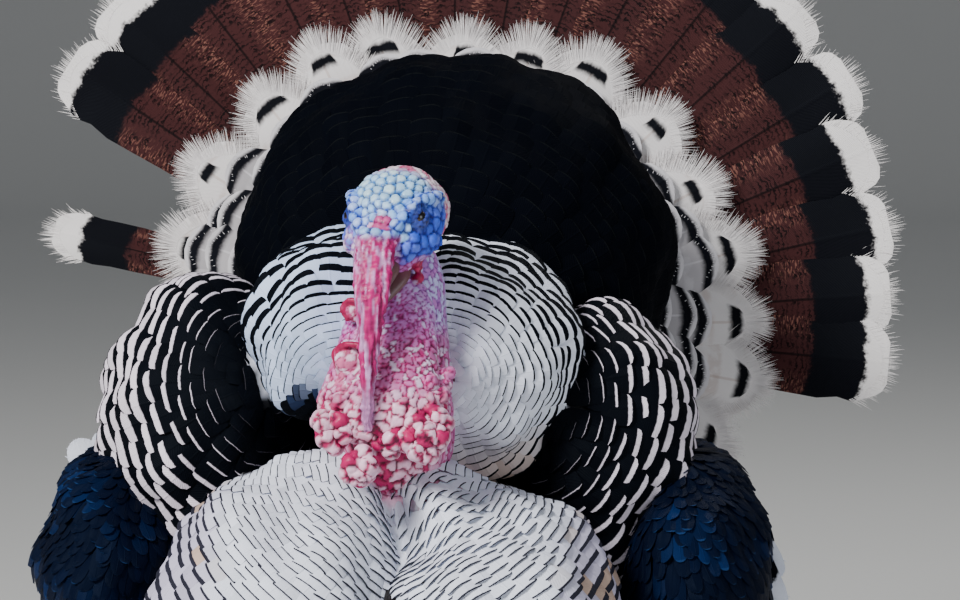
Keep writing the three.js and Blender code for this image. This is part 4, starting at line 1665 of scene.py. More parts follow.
class Flesh:
    """Closed masses of flesh that overlap, until they are fused into one skin."""

    def __init__(self) -> None:
        """Starts with no mass."""
        self.bm = bmesh.new()

    def ball(self, centre: Vec, radii: Vec | float, place: Matrix = WHOLE, detail: int = 3) -> None:
        """Adds an ellipsoid, in the frame of a place.

        Args:
            centre: Its middle.
            radii: Its radii, or its one radius.
            place: The frame of both.
            detail: How fine its faces are.
        """
        sizes = (radii,) * 3 if isinstance(radii, float) else radii
        matrix = place @ Matrix.Translation(centre) @ Matrix.Diagonal((*sizes, 1.0))
        bmesh.ops.create_icosphere(self.bm, subdivisions=detail, radius=1.0, matrix=matrix)

    def chain(self, path: list[Vec], radii: Pair, gap: float, place: Matrix = WHOLE) -> None:
        """Adds a string of beads along a smooth path.

        Args:
            path: Points that the string passes through.
            radii: The radii of the first and the last bead.
            gap: The distance between two beads.
            place: The frame of the path.
        """
        length = sum(dist(a, b) for a, b in zip(path, path[1:]))
        count = max(2, round(length / gap) + 1)
        for i, at in enumerate(bowed(path, count)):
            self.ball(tuple(at), float(blend(radii, i / (count - 1))), place, 2)

    def limb(self, stations: list[Station], place: Matrix = WHOLE, around: int = 24, steps: int = 28) -> None:
        """Adds a round limb with rounded ends.

        Args:
            stations: The cross-sections that it passes through.
            place: The frame of the stations.
            around: How many faces go round it.
            steps: How many faces go along it.
        """
        fine = bowed(stations, steps + 1)
        middles, sizes = fine[:, :3], fine[:, 3:]
        tangents = unit(np.gradient(middles, axis=0))
        sides = []
        side = np.array([1.0, 0.0, 0.0])
        for tangent in tangents:
            side = unit(side - tangent * (side @ tangent))
            sides.append(side)
        fronts = np.cross(tangents, sides)
        verts = bmesh.ops.create_uvsphere(self.bm, u_segments=around, v_segments=steps, radius=1.0)["verts"]
        for vert in verts:
            share = acos(max(-1.0, min(1.0, vert.co.z))) / pi
            ring = round(share * steps)
            turn = atan2(vert.co.y, vert.co.x)
            rounding = sqrt(max(0.0, 1 - abs(2 * share - 1) ** 6))
            out = sides[ring] * (sizes[ring, 0] * cos(turn))
            out = out + fronts[ring] * (sizes[ring, 1] * sin(turn))
            vert.co = place @ Vector(middles[ring] + out * rounding)

    def lobe(self, lobe: Lobe, height: float) -> None:
        """Adds one of the body's masses, brought in or out by a height.

        Args:
            lobe: The mass.
            height: How far out of it the flesh lies.
        """
        made = bmesh.ops.create_icosphere(self.bm, subdivisions=5, radius=1.0)["verts"]
        rays = np.array([vert.co[:] for vert in made]) * lobe.radii + lobe.centre
        for vert, at in zip(made, lobe.surface(rays, height)):
            vert.co = at

    def plain(self, name: str) -> Mesh:
        """The masses as they are, smooth."""
        return meshed(self.bm, name)

    def fused(self, grain: float, settle: int = 2) -> Mesh:
        """The masses as one closed skin of small even faces.

        Args:
            grain: The size of a face.
            settle: How often the skin is smoothed.

        Returns:
            The fused mesh.
        """
        holder = placed("masses", self.plain("masses"))
        remesh = holder.modifiers.new("fuse", "REMESH")
        remesh.mode = "VOXEL"
        remesh.voxel_size = grain
        smoothing = holder.modifiers.new("settle", "SMOOTH")
        smoothing.iterations = settle
        return evaluated(holder)


def meshed(shape: bmesh.types.BMesh, name: str) -> Mesh:
    """The smooth mesh of a closed shape. The shape is then thrown away.

    Args:
        shape: The shape.
        name: Its name.

    Returns:
        The mesh.
    """
    bmesh.ops.recalc_face_normals(shape, faces=shape.faces)
    mesh = bpy.data.meshes.new(name)
    shape.to_mesh(mesh)
    shape.free()
    mesh.shade_smooth()
    return mesh


def evaluated(holder: bpy.types.Object) -> Mesh:
    """The holder's mesh with its modifiers applied. The holder is then thrown away.

    Args:
        holder: An object with modifiers.

    Returns:
        The mesh.
    """
    bpy.context.view_layer.update()
    graph = bpy.context.evaluated_depsgraph_get()
    result = bpy.data.meshes.new_from_object(holder.evaluated_get(graph), depsgraph=graph)
    bpy.data.objects.remove(holder)
    return result


def united(meshes: list[Mesh]) -> Mesh:
    """Closed meshes as one closed mesh.

    Args:
        meshes: The meshes, which overlap.

    Returns:
        Their union.
    """
    whole = meshes[0]
    for other in meshes[1:]:
        holder, guest = placed("whole", whole), placed("guest", other)
        union = holder.modifiers.new("unite", "BOOLEAN")
        union.operation = "UNION"
        union.solver = "MANIFOLD"
        union.object = guest
        whole = evaluated(holder)
        bpy.data.objects.remove(guest)
    return whole


HEAD_LIMBS: tuple[list[Station], ...] = (
    [
        (0.0, -0.012, -0.004, 0.0262, 0.0225), (0.0, -0.026, -0.003, 0.0215, 0.0195),
        (0.0, -0.038, -0.004, 0.0148, 0.0138),
    ],
    [
        (0.0, 0.014, -0.008, 0.025, 0.024), (0.0, 0.026, -0.02, 0.0228, 0.024),
        (0.0, 0.034, -0.036, 0.0212, 0.0232),
    ],
)
NECK: list[Station] = [
    (0.006, -0.098, 0.574, 0.0235, 0.0255), (0.005, -0.098, 0.545, 0.0272, 0.0265),
    (0.003, -0.097, 0.516, 0.0298, 0.0295), (0.002, -0.098, 0.486, 0.0335, 0.0335),
    (0.0, -0.098, 0.455, 0.0375, 0.0375), (0.0, -0.096, 0.428, 0.0375, 0.0415),
    (0.0, -0.092, 0.398, 0.0335, 0.0395),
]
THROAT_BAG: list[Station] = [
    (0.0, -0.123, 0.554, 0.0195, 0.0105), (0.0, -0.129, 0.528, 0.0275, 0.0145),
    (-0.003, -0.141, 0.494, 0.0335, 0.0175), (-0.005, -0.148, 0.464, 0.0412, 0.0205),
    (-0.006, -0.152, 0.44, 0.0355, 0.0178),
]

# Rows and lumps of the face, in the head's frame, for the left side: places, and radii.
BROW: list[Vec] = [
    (0.005, -0.031, 0.015), (0.0122, -0.024, 0.0202), (0.0186, -0.0135, 0.0218),
    (0.0232, -0.002, 0.0206), (0.027, 0.006, 0.0155), (0.029, 0.013, 0.0085),
]
FACE_LUMPS = (
    (0.02, -0.0256, 0.0078, 0.0052), (0.0232, -0.0226, 0.0012, 0.0055), (0.0264, -0.0146, -0.0014, 0.0054),
    (0.0154, -0.0312, 0.0052, 0.0044), (0.0242, -0.019, -0.0056, 0.0048), (0.0276, -0.006, -0.0042, 0.0048),
    (0.0282, -0.003, 0.0048, 0.004), (0.028, 0.0045, 0.0, 0.0044), (0.0266, -0.0085, -0.011, 0.0046),
)
GAPE_WATTLE = (
    (0.0158, -0.0262, -0.0112, 0.0036), (0.0172, -0.023, -0.015, 0.0037), (0.0164, -0.0225, -0.0205, 0.003),
)
THROAT_KNOB = ((0.0176, -0.131, 0.548, 0.0036), (0.0168, -0.13, 0.5545, 0.0026))
FOREHEAD_BEADS = (
    (0.0012, -0.0206, 0.0234, 0.0026), (0.006, -0.0212, 0.0224, 0.003), (0.003, -0.0252, 0.0214, 0.0034),
    (-0.0018, -0.0258, 0.021, 0.0026), (0.0072, -0.0272, 0.0188, 0.0026),
)
LID_SLANT = -12.0
# Rings of the lids, from the gap outward: half their long and short angle, distance from the eye's middle,
# radius of the beads, and how many.
LID_RINGS = (
    (60.0, 27.5, 0.0069, 0.0017, 48), (70.0, 40.0, 0.0066, 0.0018, 36), (82.0, 60.0, 0.0056, 0.0026, 28),
)


def lid_rings() -> list[tuple[Vec, float]]:
    """The beads of the left eye's lids: rings on the eyeball round a narrow slanting gap."""
    out = unit(np.array(EYE_OUT))
    level = unit(np.array([0.0, 1.0, 0.0]) - out * out[1])
    slant = radians(LID_SLANT)
    long_way = level * cos(slant) + np.cross(out, level) * sin(slant)
    short_way = np.cross(out, long_way)
    beads = []
    for long_turn, short_turn, height, radius, count in LID_RINGS:
        for i in range(count):
            turn = TAU * i / count
            across = long_way * cos(turn) * sin(radians(long_turn))
            across = across + short_way * sin(turn) * sin(radians(short_turn))
            off = out * sqrt(1 - float(across @ across)) + across
            beads.append((tuple(np.array(EYE_AT) + off * height), radius))
    return beads


def snood_stations() -> list[Station]:
    """The snood, from its root on the forehead, forward over the bill and down to its tip."""
    length, drift, forward, depth = 0.131, 0.0048, 0.0195, 0.0054
    shares = (0.04, 0.15, 0.32, 0.46, 0.6, 0.78, 1.0)
    widths = (0.0285, 0.0265, 0.0225, 0.0165, 0.0122, 0.0098, 0.0086)
    root = HEAD @ Vector((0.0, -0.027, 0.0205))
    stations = [(root.x, root.y, root.z, 0.011, 0.007)]
    for share, width in zip(shares, widths):
        ahead = forward * sin(pi / 2 * min(1.0, share * 2.5))
        at = (root.x - drift * share, root.y - ahead, root.z - length * share)
        stations.append((*at, width / 2, depth))
    return stations


SNOOD = snood_stations()


def throat_flesh() -> Flesh:
    """The head, the neck, the snood and the throat with its caruncles."""
    flesh = Flesh()
    flesh.ball((0.0, 0.0, 0.0), (0.0316, 0.0396, 0.0276), HEAD, 4)
    for stations in HEAD_LIMBS:
        flesh.limb(stations, HEAD)
    flesh.limb(NECK)
    flesh.limb(THROAT_BAG)
    for sign in SIDES.values():
        flesh.chain([(sign * x, y, z) for x, y, z in BROW], (0.004, 0.0036), 0.0062, HEAD)
        for (x, y, z), radius in lid_rings():
            flesh.ball((sign * x, y, z), radius, HEAD, 2)
        for x, y, z, radius in FACE_LUMPS + GAPE_WATTLE:
            flesh.ball((sign * x, y, z), radius, HEAD)
        for x, y, z, radius in THROAT_KNOB:
            flesh.ball((sign * x, y, z), radius)
    for x, y, z, radius in FOREHEAD_BEADS:
        flesh.ball((x, y, z), radius, HEAD)
    flesh.limb(SNOOD, around=32, steps=44)
    for path, radii in FLAPS:
        flesh.chain(path, radii, 0.0016)
    for at, radii in FLAP_LININGS:
        flesh.ball(at, radii)
    for cluster in CARUNCLES:
        cluster.grow(flesh)
    return flesh


# Folds of loose skin on the throat's right side: the paths of their rims, and the radii at both ends.
FLAPS: tuple[tuple[list[Vec], Pair], ...] = (
    (
        [
            (-0.017, -0.156, 0.5335), (-0.0255, -0.153, 0.535), (-0.0305, -0.149, 0.529),
            (-0.027, -0.151, 0.5225),
        ],
        (0.0021, 0.0017),
    ),
    (
        [
            (-0.017, -0.162, 0.506), (-0.027, -0.159, 0.507), (-0.0355, -0.152, 0.501),
            (-0.034, -0.153, 0.493),
        ],
        (0.0023, 0.0018),
    ),
)
# Pale lobes inside the folds: places, and radii.
FLAP_LININGS = (
    ((-0.0215, -0.15, 0.527), (0.008, 0.005, 0.0062)), ((-0.025, -0.154, 0.496), (0.0105, 0.006, 0.0095)),
    ((-0.029, -0.152, 0.48), (0.0085, 0.006, 0.008)),
)


@dataclass(frozen=True)
class Caruncle:
    """A cluster of swollen lobes on the front of a ball.

    Each lobe is given by its place from side to side, its height and its radius.
    """

    centre: Vec
    radius: float
    lobes: tuple[Vec, ...]

    def grow(self, flesh: Flesh) -> None:
        """Adds the ball and its lobes.

        Args:
            flesh: Takes the masses.
        """
        flesh.ball(self.centre, self.radius * 0.8)
        x, y, z = self.centre
        for at_x, at_z, size in self.lobes:
            off = ((at_x - x) ** 2 + (at_z - z) ** 2) / self.radius**2
            ahead = self.radius * sqrt(max(0.03, 1 - off)) - size * 0.55
            flesh.ball((at_x, y - ahead, at_z), size)
            flesh.ball((at_x, y - ahead + size * 0.7, at_z), size)


CARUNCLES = (
    Caruncle(
        (0.024, -0.158, 0.447), 0.0165,
        (
            (0.02, 0.44, 0.0058), (0.0257, 0.45, 0.0066), (0.0332, 0.449, 0.006), (0.0135, 0.446, 0.0064),
            (0.0323, 0.46, 0.0056), (0.0369, 0.456, 0.0044), (0.0268, 0.437, 0.0054),
            (0.019, 0.456, 0.0056), (0.0262, 0.466, 0.0052),
        ),
    ),
    Caruncle(
        (-0.035, -0.154, 0.451), 0.014,
        (
            (-0.0417, 0.457, 0.0063), (-0.0393, 0.446, 0.0054), (-0.0318, 0.458, 0.0052),
            (-0.029, 0.449, 0.0052), (-0.0345, 0.441, 0.0048), (-0.036, 0.465, 0.0044),
        ),
    ),
    Caruncle(
        (-0.017, -0.166, 0.428), 0.012,
        (
            (-0.0214, 0.431, 0.0062), (-0.012, 0.43, 0.0056), (-0.0167, 0.423, 0.0056),
            (-0.0242, 0.425, 0.0047), (-0.015, 0.437, 0.0046),
        ),
    ),
    Caruncle(
        (0.003, -0.16, 0.447), 0.01,
        ((0.004, 0.446, 0.0056), (-0.0045, 0.444, 0.0044), (0.006, 0.455, 0.0044), (0.002, 0.438, 0.0042)),
    ),
    Caruncle(
        (0.024, -0.148, 0.474), 0.013,
        (
            (0.0262, 0.47, 0.0054), (0.0266, 0.482, 0.005), (0.0172, 0.466, 0.0054), (0.034, 0.474, 0.0044),
            (0.018, 0.478, 0.0048),
        ),
    ),
    Caruncle((0.033, -0.138, 0.483), 0.008, ((0.0356, 0.479, 0.004), (0.0388, 0.487, 0.0032))),
    Caruncle((0.009, -0.158, 0.468), 0.008, ((0.0097, 0.4685, 0.0047), (0.006, 0.478, 0.0042))),
    Caruncle(
        (-0.027, -0.156, 0.469), 0.009,
        ((-0.03, 0.47, 0.0046), (-0.0235, 0.465, 0.0044), (-0.026, 0.476, 0.004)),
    ),
)


@dataclass(frozen=True)
class Patch:
    """The beading of one stretch of skin, and its colours: the lighter tops partly a painted highlight, the
    darker grooves partly painted shade.
    """

    spacing: float
    height: float
    bead: Vec  # on top, lighter partly as a painted highlight
    flank: Vec
    # between the beads, darker partly as painted shade
    groove: Vec
    other: Vec  # the colour of some of the beads
    others: float  # the share of those
    cap: float = 0.5  # how far down from its top a bead keeps its top colour, from 0 to 1


class Beads:
    """The beading over all the bare skin, mixed from its patches."""

    WIDE = ("bead", "flank", "groove", "other")
    KEYS = ("spacing", "height", "others", "cap", *WIDE)
    CLOSEST = 0.92  # how near two beads may come, over their spacing
    # The length of the waves that bend the throat's beads out of round, and by how much.
    BEND = (0.013, 0.0013)

    def __init__(self, points: Array) -> None:
        """Bends the throat's points a little, so that its beads are not all round.

        Args:
            points: The points of the skin.
        """
        count = len(points)
        self.mixed = {key: np.zeros((count, 3) if key in self.WIDE else count) for key in self.KEYS}
        stray = np.stack([Ripple(self.BEND[0], seed).at(points) for seed in (71, 72, 73)], -1)
        bend = self.BEND[1] * smooth(0.556, 0.53, points[:, 2])
        self.points = points + stray * bend[:, None]

    def lay(self, patch: Patch, weight: Array | float) -> None:
        """Mixes in a patch by each point's weight.

        Args:
            patch: The patch.
            weight: Each point's share of it.
        """
        for key, old in self.mixed.items():
            share = np.broadcast_to(weight, len(old))
            share = share[:, None] if old.ndim == 2 else share
            self.mixed[key] = blend((old, np.array(getattr(patch, key))), share)

    def seeds(self, seed: int) -> Array:
        """Middles of the beads: points as far apart as the spacing there.

        Args:
            seed: Picks the places.

        Returns:
            The middles' own numbers among the points.
        """
        rng = np.random.default_rng(seed)
        taken: dict[tuple[int, int, int], list[int]] = {}
        spacing = self.mixed["spacing"]
        cell = float(spacing.max())
        keys = np.floor(self.points / cell).astype(int)
        steps = list(product((-1, 0, 1), repeat=3))
        chosen = []
        for i in rng.permutation(len(self.points)):
            x, y, z = keys[i]
            near = [k for dx, dy, dz in steps for k in taken.get((x + dx, y + dy, z + dz), ())]
            if near:
                gaps = np.linalg.norm(self.points[near] - self.points[i], axis=1)
                if gaps.min() < spacing[i] * self.CLOSEST:
                    continue
            taken.setdefault((x, y, z), []).append(i)
            chosen.append(i)
        return np.array(chosen)

    def raised(self, seed: int) -> tuple[Array, Array]:
        """How far each point is raised, and its colour.

        Args:
            seed: Picks the beads' places.

        Returns:
            The heights and the colours.
        """
        rng = np.random.default_rng(seed)
        middles = self.seeds(seed)
        mixed = self.mixed
        tree = kdtree.KDTree(len(middles))
        for k, i in enumerate(middles):
            tree.insert(Vector(self.points[i]), k)
        tree.balance()
        near, first, second = [], [], []
        for point in self.points:
            (_, k, a), (_, _, b) = tree.find_n(Vector(point), 2)
            near.append(k)
            first.append(a)
            second.append(b)
        near, first, second = np.array(near), np.array(first), np.array(second)
        dome = 1 - (first / np.maximum(second, 1e-9)) ** 2
        size = rng.uniform(0.75, 1.15, len(middles))[near]
        height = mixed["height"] * smooth(0.0, 0.75, dome) * size
        pick = rng.uniform(0, 1, len(middles))[near] < mixed["others"][middles][near]
        top = np.where(pick[:, None], mixed["other"][middles][near], mixed["bead"][middles][near])
        top = top * rng.uniform(0.86, 1.1, len(middles))[near][:, None]
        # From the groove's colour, partly painted shade, through the flank to the top's, partly a painted
        # highlight.
        flank = blend((mixed["groove"], mixed["flank"]), smooth(0.12, 0.4, dome)[:, None])
        rim = 0.85 - 0.6 * mixed["cap"]
        return height, blend((flank, top), smooth(rim - 0.16, rim + 0.16, dome)[:, None])


THROAT = Patch(
    0.0034, 0.0006, (0.52, 0.18, 0.54), (0.42, 0.028, 0.25), (0.19, 0.003, 0.09), (0.66, 0.54, 0.88), 0.22,
    0.35,
)
SIDE_NECK = Patch(
    0.004, 0.0009, (0.58, 0.58, 0.92), (0.38, 0.14, 0.52), (0.17, 0.012, 0.2), (0.52, 0.2, 0.56), 0.35,
    0.45,
)
BEADED = Patch(
    0.0042, 0.0014, (0.58, 0.16, 0.4), (0.42, 0.008, 0.14), (0.12, 0.001, 0.045), (0.78, 0.6, 0.82), 0.36,
    0.42,
)
KNOBS = Patch(
    0.0062, 0.0024, (0.84, 0.52, 0.68), (0.44, 0.005, 0.1), (0.085, 0.001, 0.024), (0.47, 0.006, 0.11),
    0.24, 0.42,
)
CROWN = Patch(
    0.006, 0.0026, (0.52, 0.76, 0.9), (0.035, 0.19, 0.52), (0.001, 0.008, 0.08), (0.38, 0.64, 0.88), 0.5,
    0.52,
)
FRONT_CROWN = Patch(
    0.0052, 0.0022, (0.26, 0.5, 0.9), (0.025, 0.1, 0.5), (0.001, 0.006, 0.11), (0.4, 0.62, 0.92), 0.4, 0.48,
)
BROW_ROW = Patch(
    0.0056, 0.0016, (0.2, 0.4, 0.9), (0.025, 0.09, 0.55), (0.002, 0.007, 0.15), (0.36, 0.5, 0.92), 0.4,
    0.55,
)
CHEEK = Patch(
    0.007, 0.0012, (0.05, 0.13, 0.78), (0.016, 0.045, 0.5), (0.003, 0.006, 0.18), (0.1, 0.18, 0.82),
    0.4, 0.6,
)
PALE_CHEEK = Patch(
    0.0036, 0.0012, (0.7, 0.56, 0.78), (0.34, 0.14, 0.52), (0.1, 0.012, 0.2), (0.2, 0.28, 0.8), 0.3, 0.5
)
EYELID = Patch(
    0.0022, 0.0003, (0.026, 0.05, 0.34), (0.014, 0.026, 0.2), (0.004, 0.007, 0.08), (0.05, 0.08, 0.36),
    0.5, 0.6,
)
NAPE = Patch(
    0.0044, 0.0013, (0.84, 0.7, 0.8), (0.62, 0.3, 0.44), (0.34, 0.03, 0.12), (0.58, 0.07, 0.2), 0.2, 0.55,
)
FOREHEAD = Patch(
    0.0044, 0.001, (0.54, 0.08, 0.26), (0.38, 0.01, 0.12), (0.12, 0.002, 0.06), (0.72, 0.42, 0.66), 0.22,
    0.5,
)
WATTLE = Patch(
    0.0036, 0.0004, (0.4, 0.003, 0.075), (0.32, 0.002, 0.055), (0.18, 0.001, 0.03), (0.56, 0.04, 0.14),
    0.25, 0.5,
)
FLAP = Patch(
    0.0036, 0.0003, (0.38, 0.002, 0.075), (0.32, 0.002, 0.06), (0.22, 0.001, 0.042), (0.56, 0.05, 0.18),
    0.2, 0.6,
)
LINING = Patch(
    0.0042, 0.0009, (0.8, 0.56, 0.74), (0.56, 0.12, 0.28), (0.28, 0.006, 0.07), (0.62, 0.14, 0.3), 0.3, 0.5
)


BARE_SKIN = Tinted(
    "bare skin", Gloss(roughness=0.4, specular=0.34, coat=0.05, subsurface=0.05), mottle=(420.0, 0.5)
)
BILL_HORN = Tinted(
    "bill horn", Gloss(roughness=0.34, specular=0.5), mottle=(260.0, 0.5), relief=700.0, bump=(0.3, 0.0003)
)
CLAW_HORN = Tinted(
    "claw horn", Gloss(roughness=0.36, specular=0.5), mottle=(300.0, 0.6), relief=800.0, bump=(0.3, 0.0003)
)
EYEBALL = Tinted(
    "eye", Gloss(roughness=0.05, specular=0.5, coat=0.3), mottle=(900.0, 0.2), bump=(0.0, 0.0001),
)
BRISTLE = Tinted("beard bristle", Gloss(roughness=0.5, specular=0.4), attribute="dye", grain=(1.0, 1.0, 0.2))


def corners(mesh: Mesh, kind: str) -> Array:
    """The places of a mesh's vertices, kind "co", or its ways out there, kind "normal".

    Args:
        mesh: The mesh.
        kind: "co" or "normal".

    Returns:
        One row for each vertex.
    """
    values = np.empty(len(mesh.vertices) * 3)
    mesh.vertices.foreach_get(kind, values)
    return values.reshape(-1, 3)


def dyed(mesh: Mesh, colours: Array) -> Mesh:
    """The mesh, with a colour at each vertex.

    Args:
        mesh: The mesh.
        colours: One colour for each vertex.

    Returns:
        The same mesh.
    """
    layer = mesh.color_attributes.new("flesh", "FLOAT_COLOR", "POINT")
    solid = np.c_[np.clip(colours, 0, 1), np.ones(len(colours))]
    layer.data.foreach_set("color", solid.ravel())
    return mesh


@dataclass(frozen=True)
class Skin:
    """The one skin of the bird: bare on head, throat and feet, and under the coat elsewhere."""

    sunk: float = -0.0085  # how far the skin lies outside the masses under the feathers
    grains: Vec = (0.009, 0.00132, 0.002)  # the size of the faces on body, head and throat, and legs
    bare_box: Vec = (0.4, -0.045, 0.062)  # bare skin lies above, ahead of and within these
    leg_top: float = 0.2  # how high the scales of the legs reach
    toe_top: float = 0.034  # how high those of the toes reach
    scute: float = 0.0062  # the length of a broad scale
    snood_red: Vec = (0.52, 0.005, 0.17)
    # The snood's pale streaks, in this colour, are painted highlights; its lower end turns paler too.
    snood_pale_and_highlight: Vec = (0.72, 0.38, 0.74)
    leg: Vec = (0.36, 0.145, 0.115)
    leg_groove: Vec = (0.17, 0.06, 0.05)

    flesh_nodes: tuple[str, ...] = (
        "head", "dewlap", "neck_upper", "neck_lower", "snood", "throat_base", "caruncle_left",
        "caruncle_right", "caruncle_middle", "mantle", "rump", "undertail", "vent", "trunk",
    )
    paired_nodes: tuple[str, ...] = ("breast", "ruff", "scapulars", "wing", "thigh", "shank", "foot")

    def build(self) -> None:
        """Makes the skin's piece."""
        body = Flesh()
        for lobe in LOBES.values():
            body.lobe(lobe, self.sunk)
        legs = Flesh()
        for sign in SIDES.values():
            Leg(sign).grow(legs)
        masses = (body, throat_flesh(), legs)
        mesh = united([flesh.fused(grain) for flesh, grain in zip(masses, self.grains)])
        points, normals = corners(mesh, "co"), corners(mesh, "normal")
        colours = self.under_coat(points)
        above, ahead, within = self.bare_box
        bare = (points[:, 2] > above) & (points[:, 1] < ahead) & (np.abs(points[:, 0]) < within)
        low = points[:, 2] < self.leg_top
        relief = ((bare, self.bare(points[bare])), (low, self.scales(points[low], normals[low])))
        for part, (height, tint) in relief:
            points[part] += normals[part] * height[:, None]
            colours[part] = tint
        mesh.vertices.foreach_set("co", points.ravel())
        mesh.update()
        dyed(mesh, colours).shade_smooth()
        mesh.name = "skin"
        paired = tuple(f"{node}_{side}" for node in self.paired_nodes for side in SIDES)
        Bench.piece("skin", mesh, BARE_SKIN.material(), "skin_head", self.flesh_nodes + paired)

    @staticmethod
    def under_coat(points: Array) -> Array:
        """The colour of the coat over each point: that of the mass whose surface is nearest.

        Args:
            points: The points of the skin.

        Returns:
            The colours.
        """
        tints = {"breast": WHITE, "ruff": WHITE, "vent": SLATE, "undertail": SLATE, "wing": BLUE_BLACK}
        names = list(LOBES)
        depths = np.abs(np.stack([LOBES[name].depth(points) for name in names]) - 0.008)
        palette = np.array([tints.get(name.split("_")[0], BLACK) for name in names])
        return palette[depths.argmin(0)] * 0.8

    def bare(self, points: Array) -> tuple[Array, Array]:
        """The relief and the colours of the head and the throat.

        Args:
            points: Points of the bare skin.

        Returns:
            How far each is raised, and its colour.
        """
        local = moved(HEAD.inverted(), points)
        x, y, z = np.abs(local[:, 0]), local[:, 1], local[:, 2]
        level = points[:, 2]
        beads = Beads(points)
        beads.lay(THROAT, 1.0)
        beads.lay(
            SIDE_NECK, smooth(-0.146, -0.128, points[:, 1]) * smooth(0.002, 0.018, np.abs(points[:, 0])),
        )
        beads.lay(BEADED, smooth(0.524, 0.496, level))
        beads.lay(KNOBS, smooth(0.484, 0.464, level) * smooth(-0.11, -0.128, points[:, 1]))
        for cluster in CARUNCLES[:3]:
            away = np.linalg.norm(points - cluster.centre, axis=1) / cluster.radius
            beads.lay(KNOBS, smooth(1.45, 1.05, away))
        on_head = smooth(0.052, 0.04, np.linalg.norm(local * [1, 0.85, 1.0] - [0, 0.004, -0.004], axis=1))
        beads.lay(NAPE, on_head * smooth(0.006, 0.018, y))
        jaw = z + 0.0035 + 0.875 * np.clip(y + 0.029, 0.0, 0.022)
        side = smooth(0.01, 0.017, x) * smooth(0.022, 0.012, y) * smooth(-0.0015, 0.0025, jaw)
        beads.lay(CHEEK, on_head * side)
        crown = on_head * smooth(0.012, 0.017, z - 0.35 * (x - 0.02)) * smooth(0.03, 0.016, y)
        beads.lay(CROWN, crown)
        beads.lay(FRONT_CROWN, crown * smooth(-0.003, -0.015, y))
        beads.lay(PALE_CHEEK, on_head * smooth(-0.008, -0.014, local[:, 0]) * smooth(-0.014, -0.022, y))
        mirrored = np.stack([x, y, z], 1)
        to_brow = self.nearest(mirrored, BROW, 40)
        beads.lay(BROW_ROW, on_head * smooth(0.0068, 0.0045, to_brow))
        beads.lay(FOREHEAD, self.near_any(local, FOREHEAD_BEADS, 0.0012))
        beads.lay(WATTLE, self.near_any(mirrored, GAPE_WATTLE, 0.001))
        beads.lay(WATTLE, self.near_any(np.abs(points) * [1, -1, 1], THROAT_KNOB, 0.001))
        eye = np.linalg.norm(mirrored - np.array(EYE_AT) - np.array(EYE_OUT) * 0.003, axis=1)
        beads.lay(EYELID, smooth(0.009, 0.007, eye))
        for at, radii in FLAP_LININGS:
            away = np.linalg.norm((points - at) / radii, axis=1)
            beads.lay(LINING, smooth(1.35, 1.1, away))
        for path, _ in FLAPS:
            beads.lay(FLAP, smooth(0.004, 0.0028, self.nearest(points, path, 24)))
        height, tint = beads.raised(7)
        share = self.on_snood(points)
        streaks, lift = self.snood_streaks(points)
        return height * (1 - share) + lift * share, blend((tint, streaks), share[:, None])

    @staticmethod
    def nearest(points: Array, path: list[Vec], count: int) -> Array:
        """How far each point lies from a path."""
        return np.linalg.norm(points[:, None] - bowed(np.array(path), count)[None], axis=2).min(1)

    @staticmethod
    def near_any(points: Array, balls: tuple, margin: float) -> Array:
        """1 on the balls, 0 further out than a margin over them.

        Args:
            points: The points.
            balls: The balls: places, and radii.
            margin: The margin.

        Returns:
            One number for each point.
        """
        shares = [
            smooth(r + 1.6 * margin, r + margin / 2, np.linalg.norm(points - np.array(at), axis=1))
            for *at, r in balls
        ]
        return np.max(shares, axis=0)

    @staticmethod
    def on_snood(points: Array) -> Array:
        """1 on the snood, 0 off it.

        Args:
            points: The points of the skin.

        Returns:
            One number for each point.
        """
        fine = bowed(SNOOD, 60)[4:]
        offset = points[:, None] - fine[None, :, :3]
        nearest = np.abs(offset[:, :, 2]).argmin(1)
        rows = np.arange(len(points))
        off = offset[rows, nearest]
        width, depth = fine[nearest, 3], fine[nearest, 4]
        reach = np.sqrt((off[:, 0] / (width + 0.0008)) ** 2 + (off[:, 1] / (depth + 0.0012)) ** 2)
        under_root = smooth(SNOOD[1][2] + 0.004, SNOOD[1][2] - 0.002, points[:, 2])
        over_tip = smooth(SNOOD[-1][2] - 0.004, SNOOD[-1][2] - 0.0005, points[:, 2])
        return smooth(1.22, 1.08, reach) * under_root * over_tip

    def snood_streaks(self, points: Array) -> tuple[Array, Array]:
        """The snood's colours, with pale streaks of painted highlight and painted shade in its wrinkles'
        troughs, and its lengthwise wrinkles.

        Args:
            points: The points of the skin.

        Returns:
            The colours, and how far each point is raised.
        """
        ridge = 1 - np.abs(Ripple(0.0042, 3).at(points * [1.0, 0.2, 0.06])) * 1.4
        fine = Ripple(0.0024, 4).at(points * [1.0, 0.3, 0.12])
        cross = Ripple(0.006, 6).at(points * [0.5, 0.5, 1.0])
        lift = 0.0008 * ridge + 0.00025 * fine + 0.0003 * cross
        patchy = Ripple(0.012, 8).at(points * [1.0, 1.0, 0.5])
        # Pale streaks: painted highlights.
        pale = smooth(0.25, 1.35, Ripple(0.0046, 5).at(points * [1.0, 0.2, 0.12]) + 0.4 * fine + 0.6 * patchy)
        # More of them on the upper side towards the key light: painted highlight.
        left_top = smooth(-0.004, -0.012, points[:, 0] - SNOOD[1][0]) * smooth(0.54, 0.56, points[:, 2])
        pale = np.maximum(pale, left_top * smooth(-0.4, 0.5, fine + 0.5))
        low_end = smooth(SNOOD[-1][2] + 0.036, SNOOD[-1][2] + 0.02, points[:, 2])
        pale = np.maximum(pale * 0.85, low_end * 0.75)
        tint = shades((self.snood_red, self.snood_pale_and_highlight), pale)
        # Darker in the wrinkles' troughs than on their ridges: painted shade.
        return tint * (0.62 + 0.42 * np.clip(ridge, 0, 1))[:, None], lift

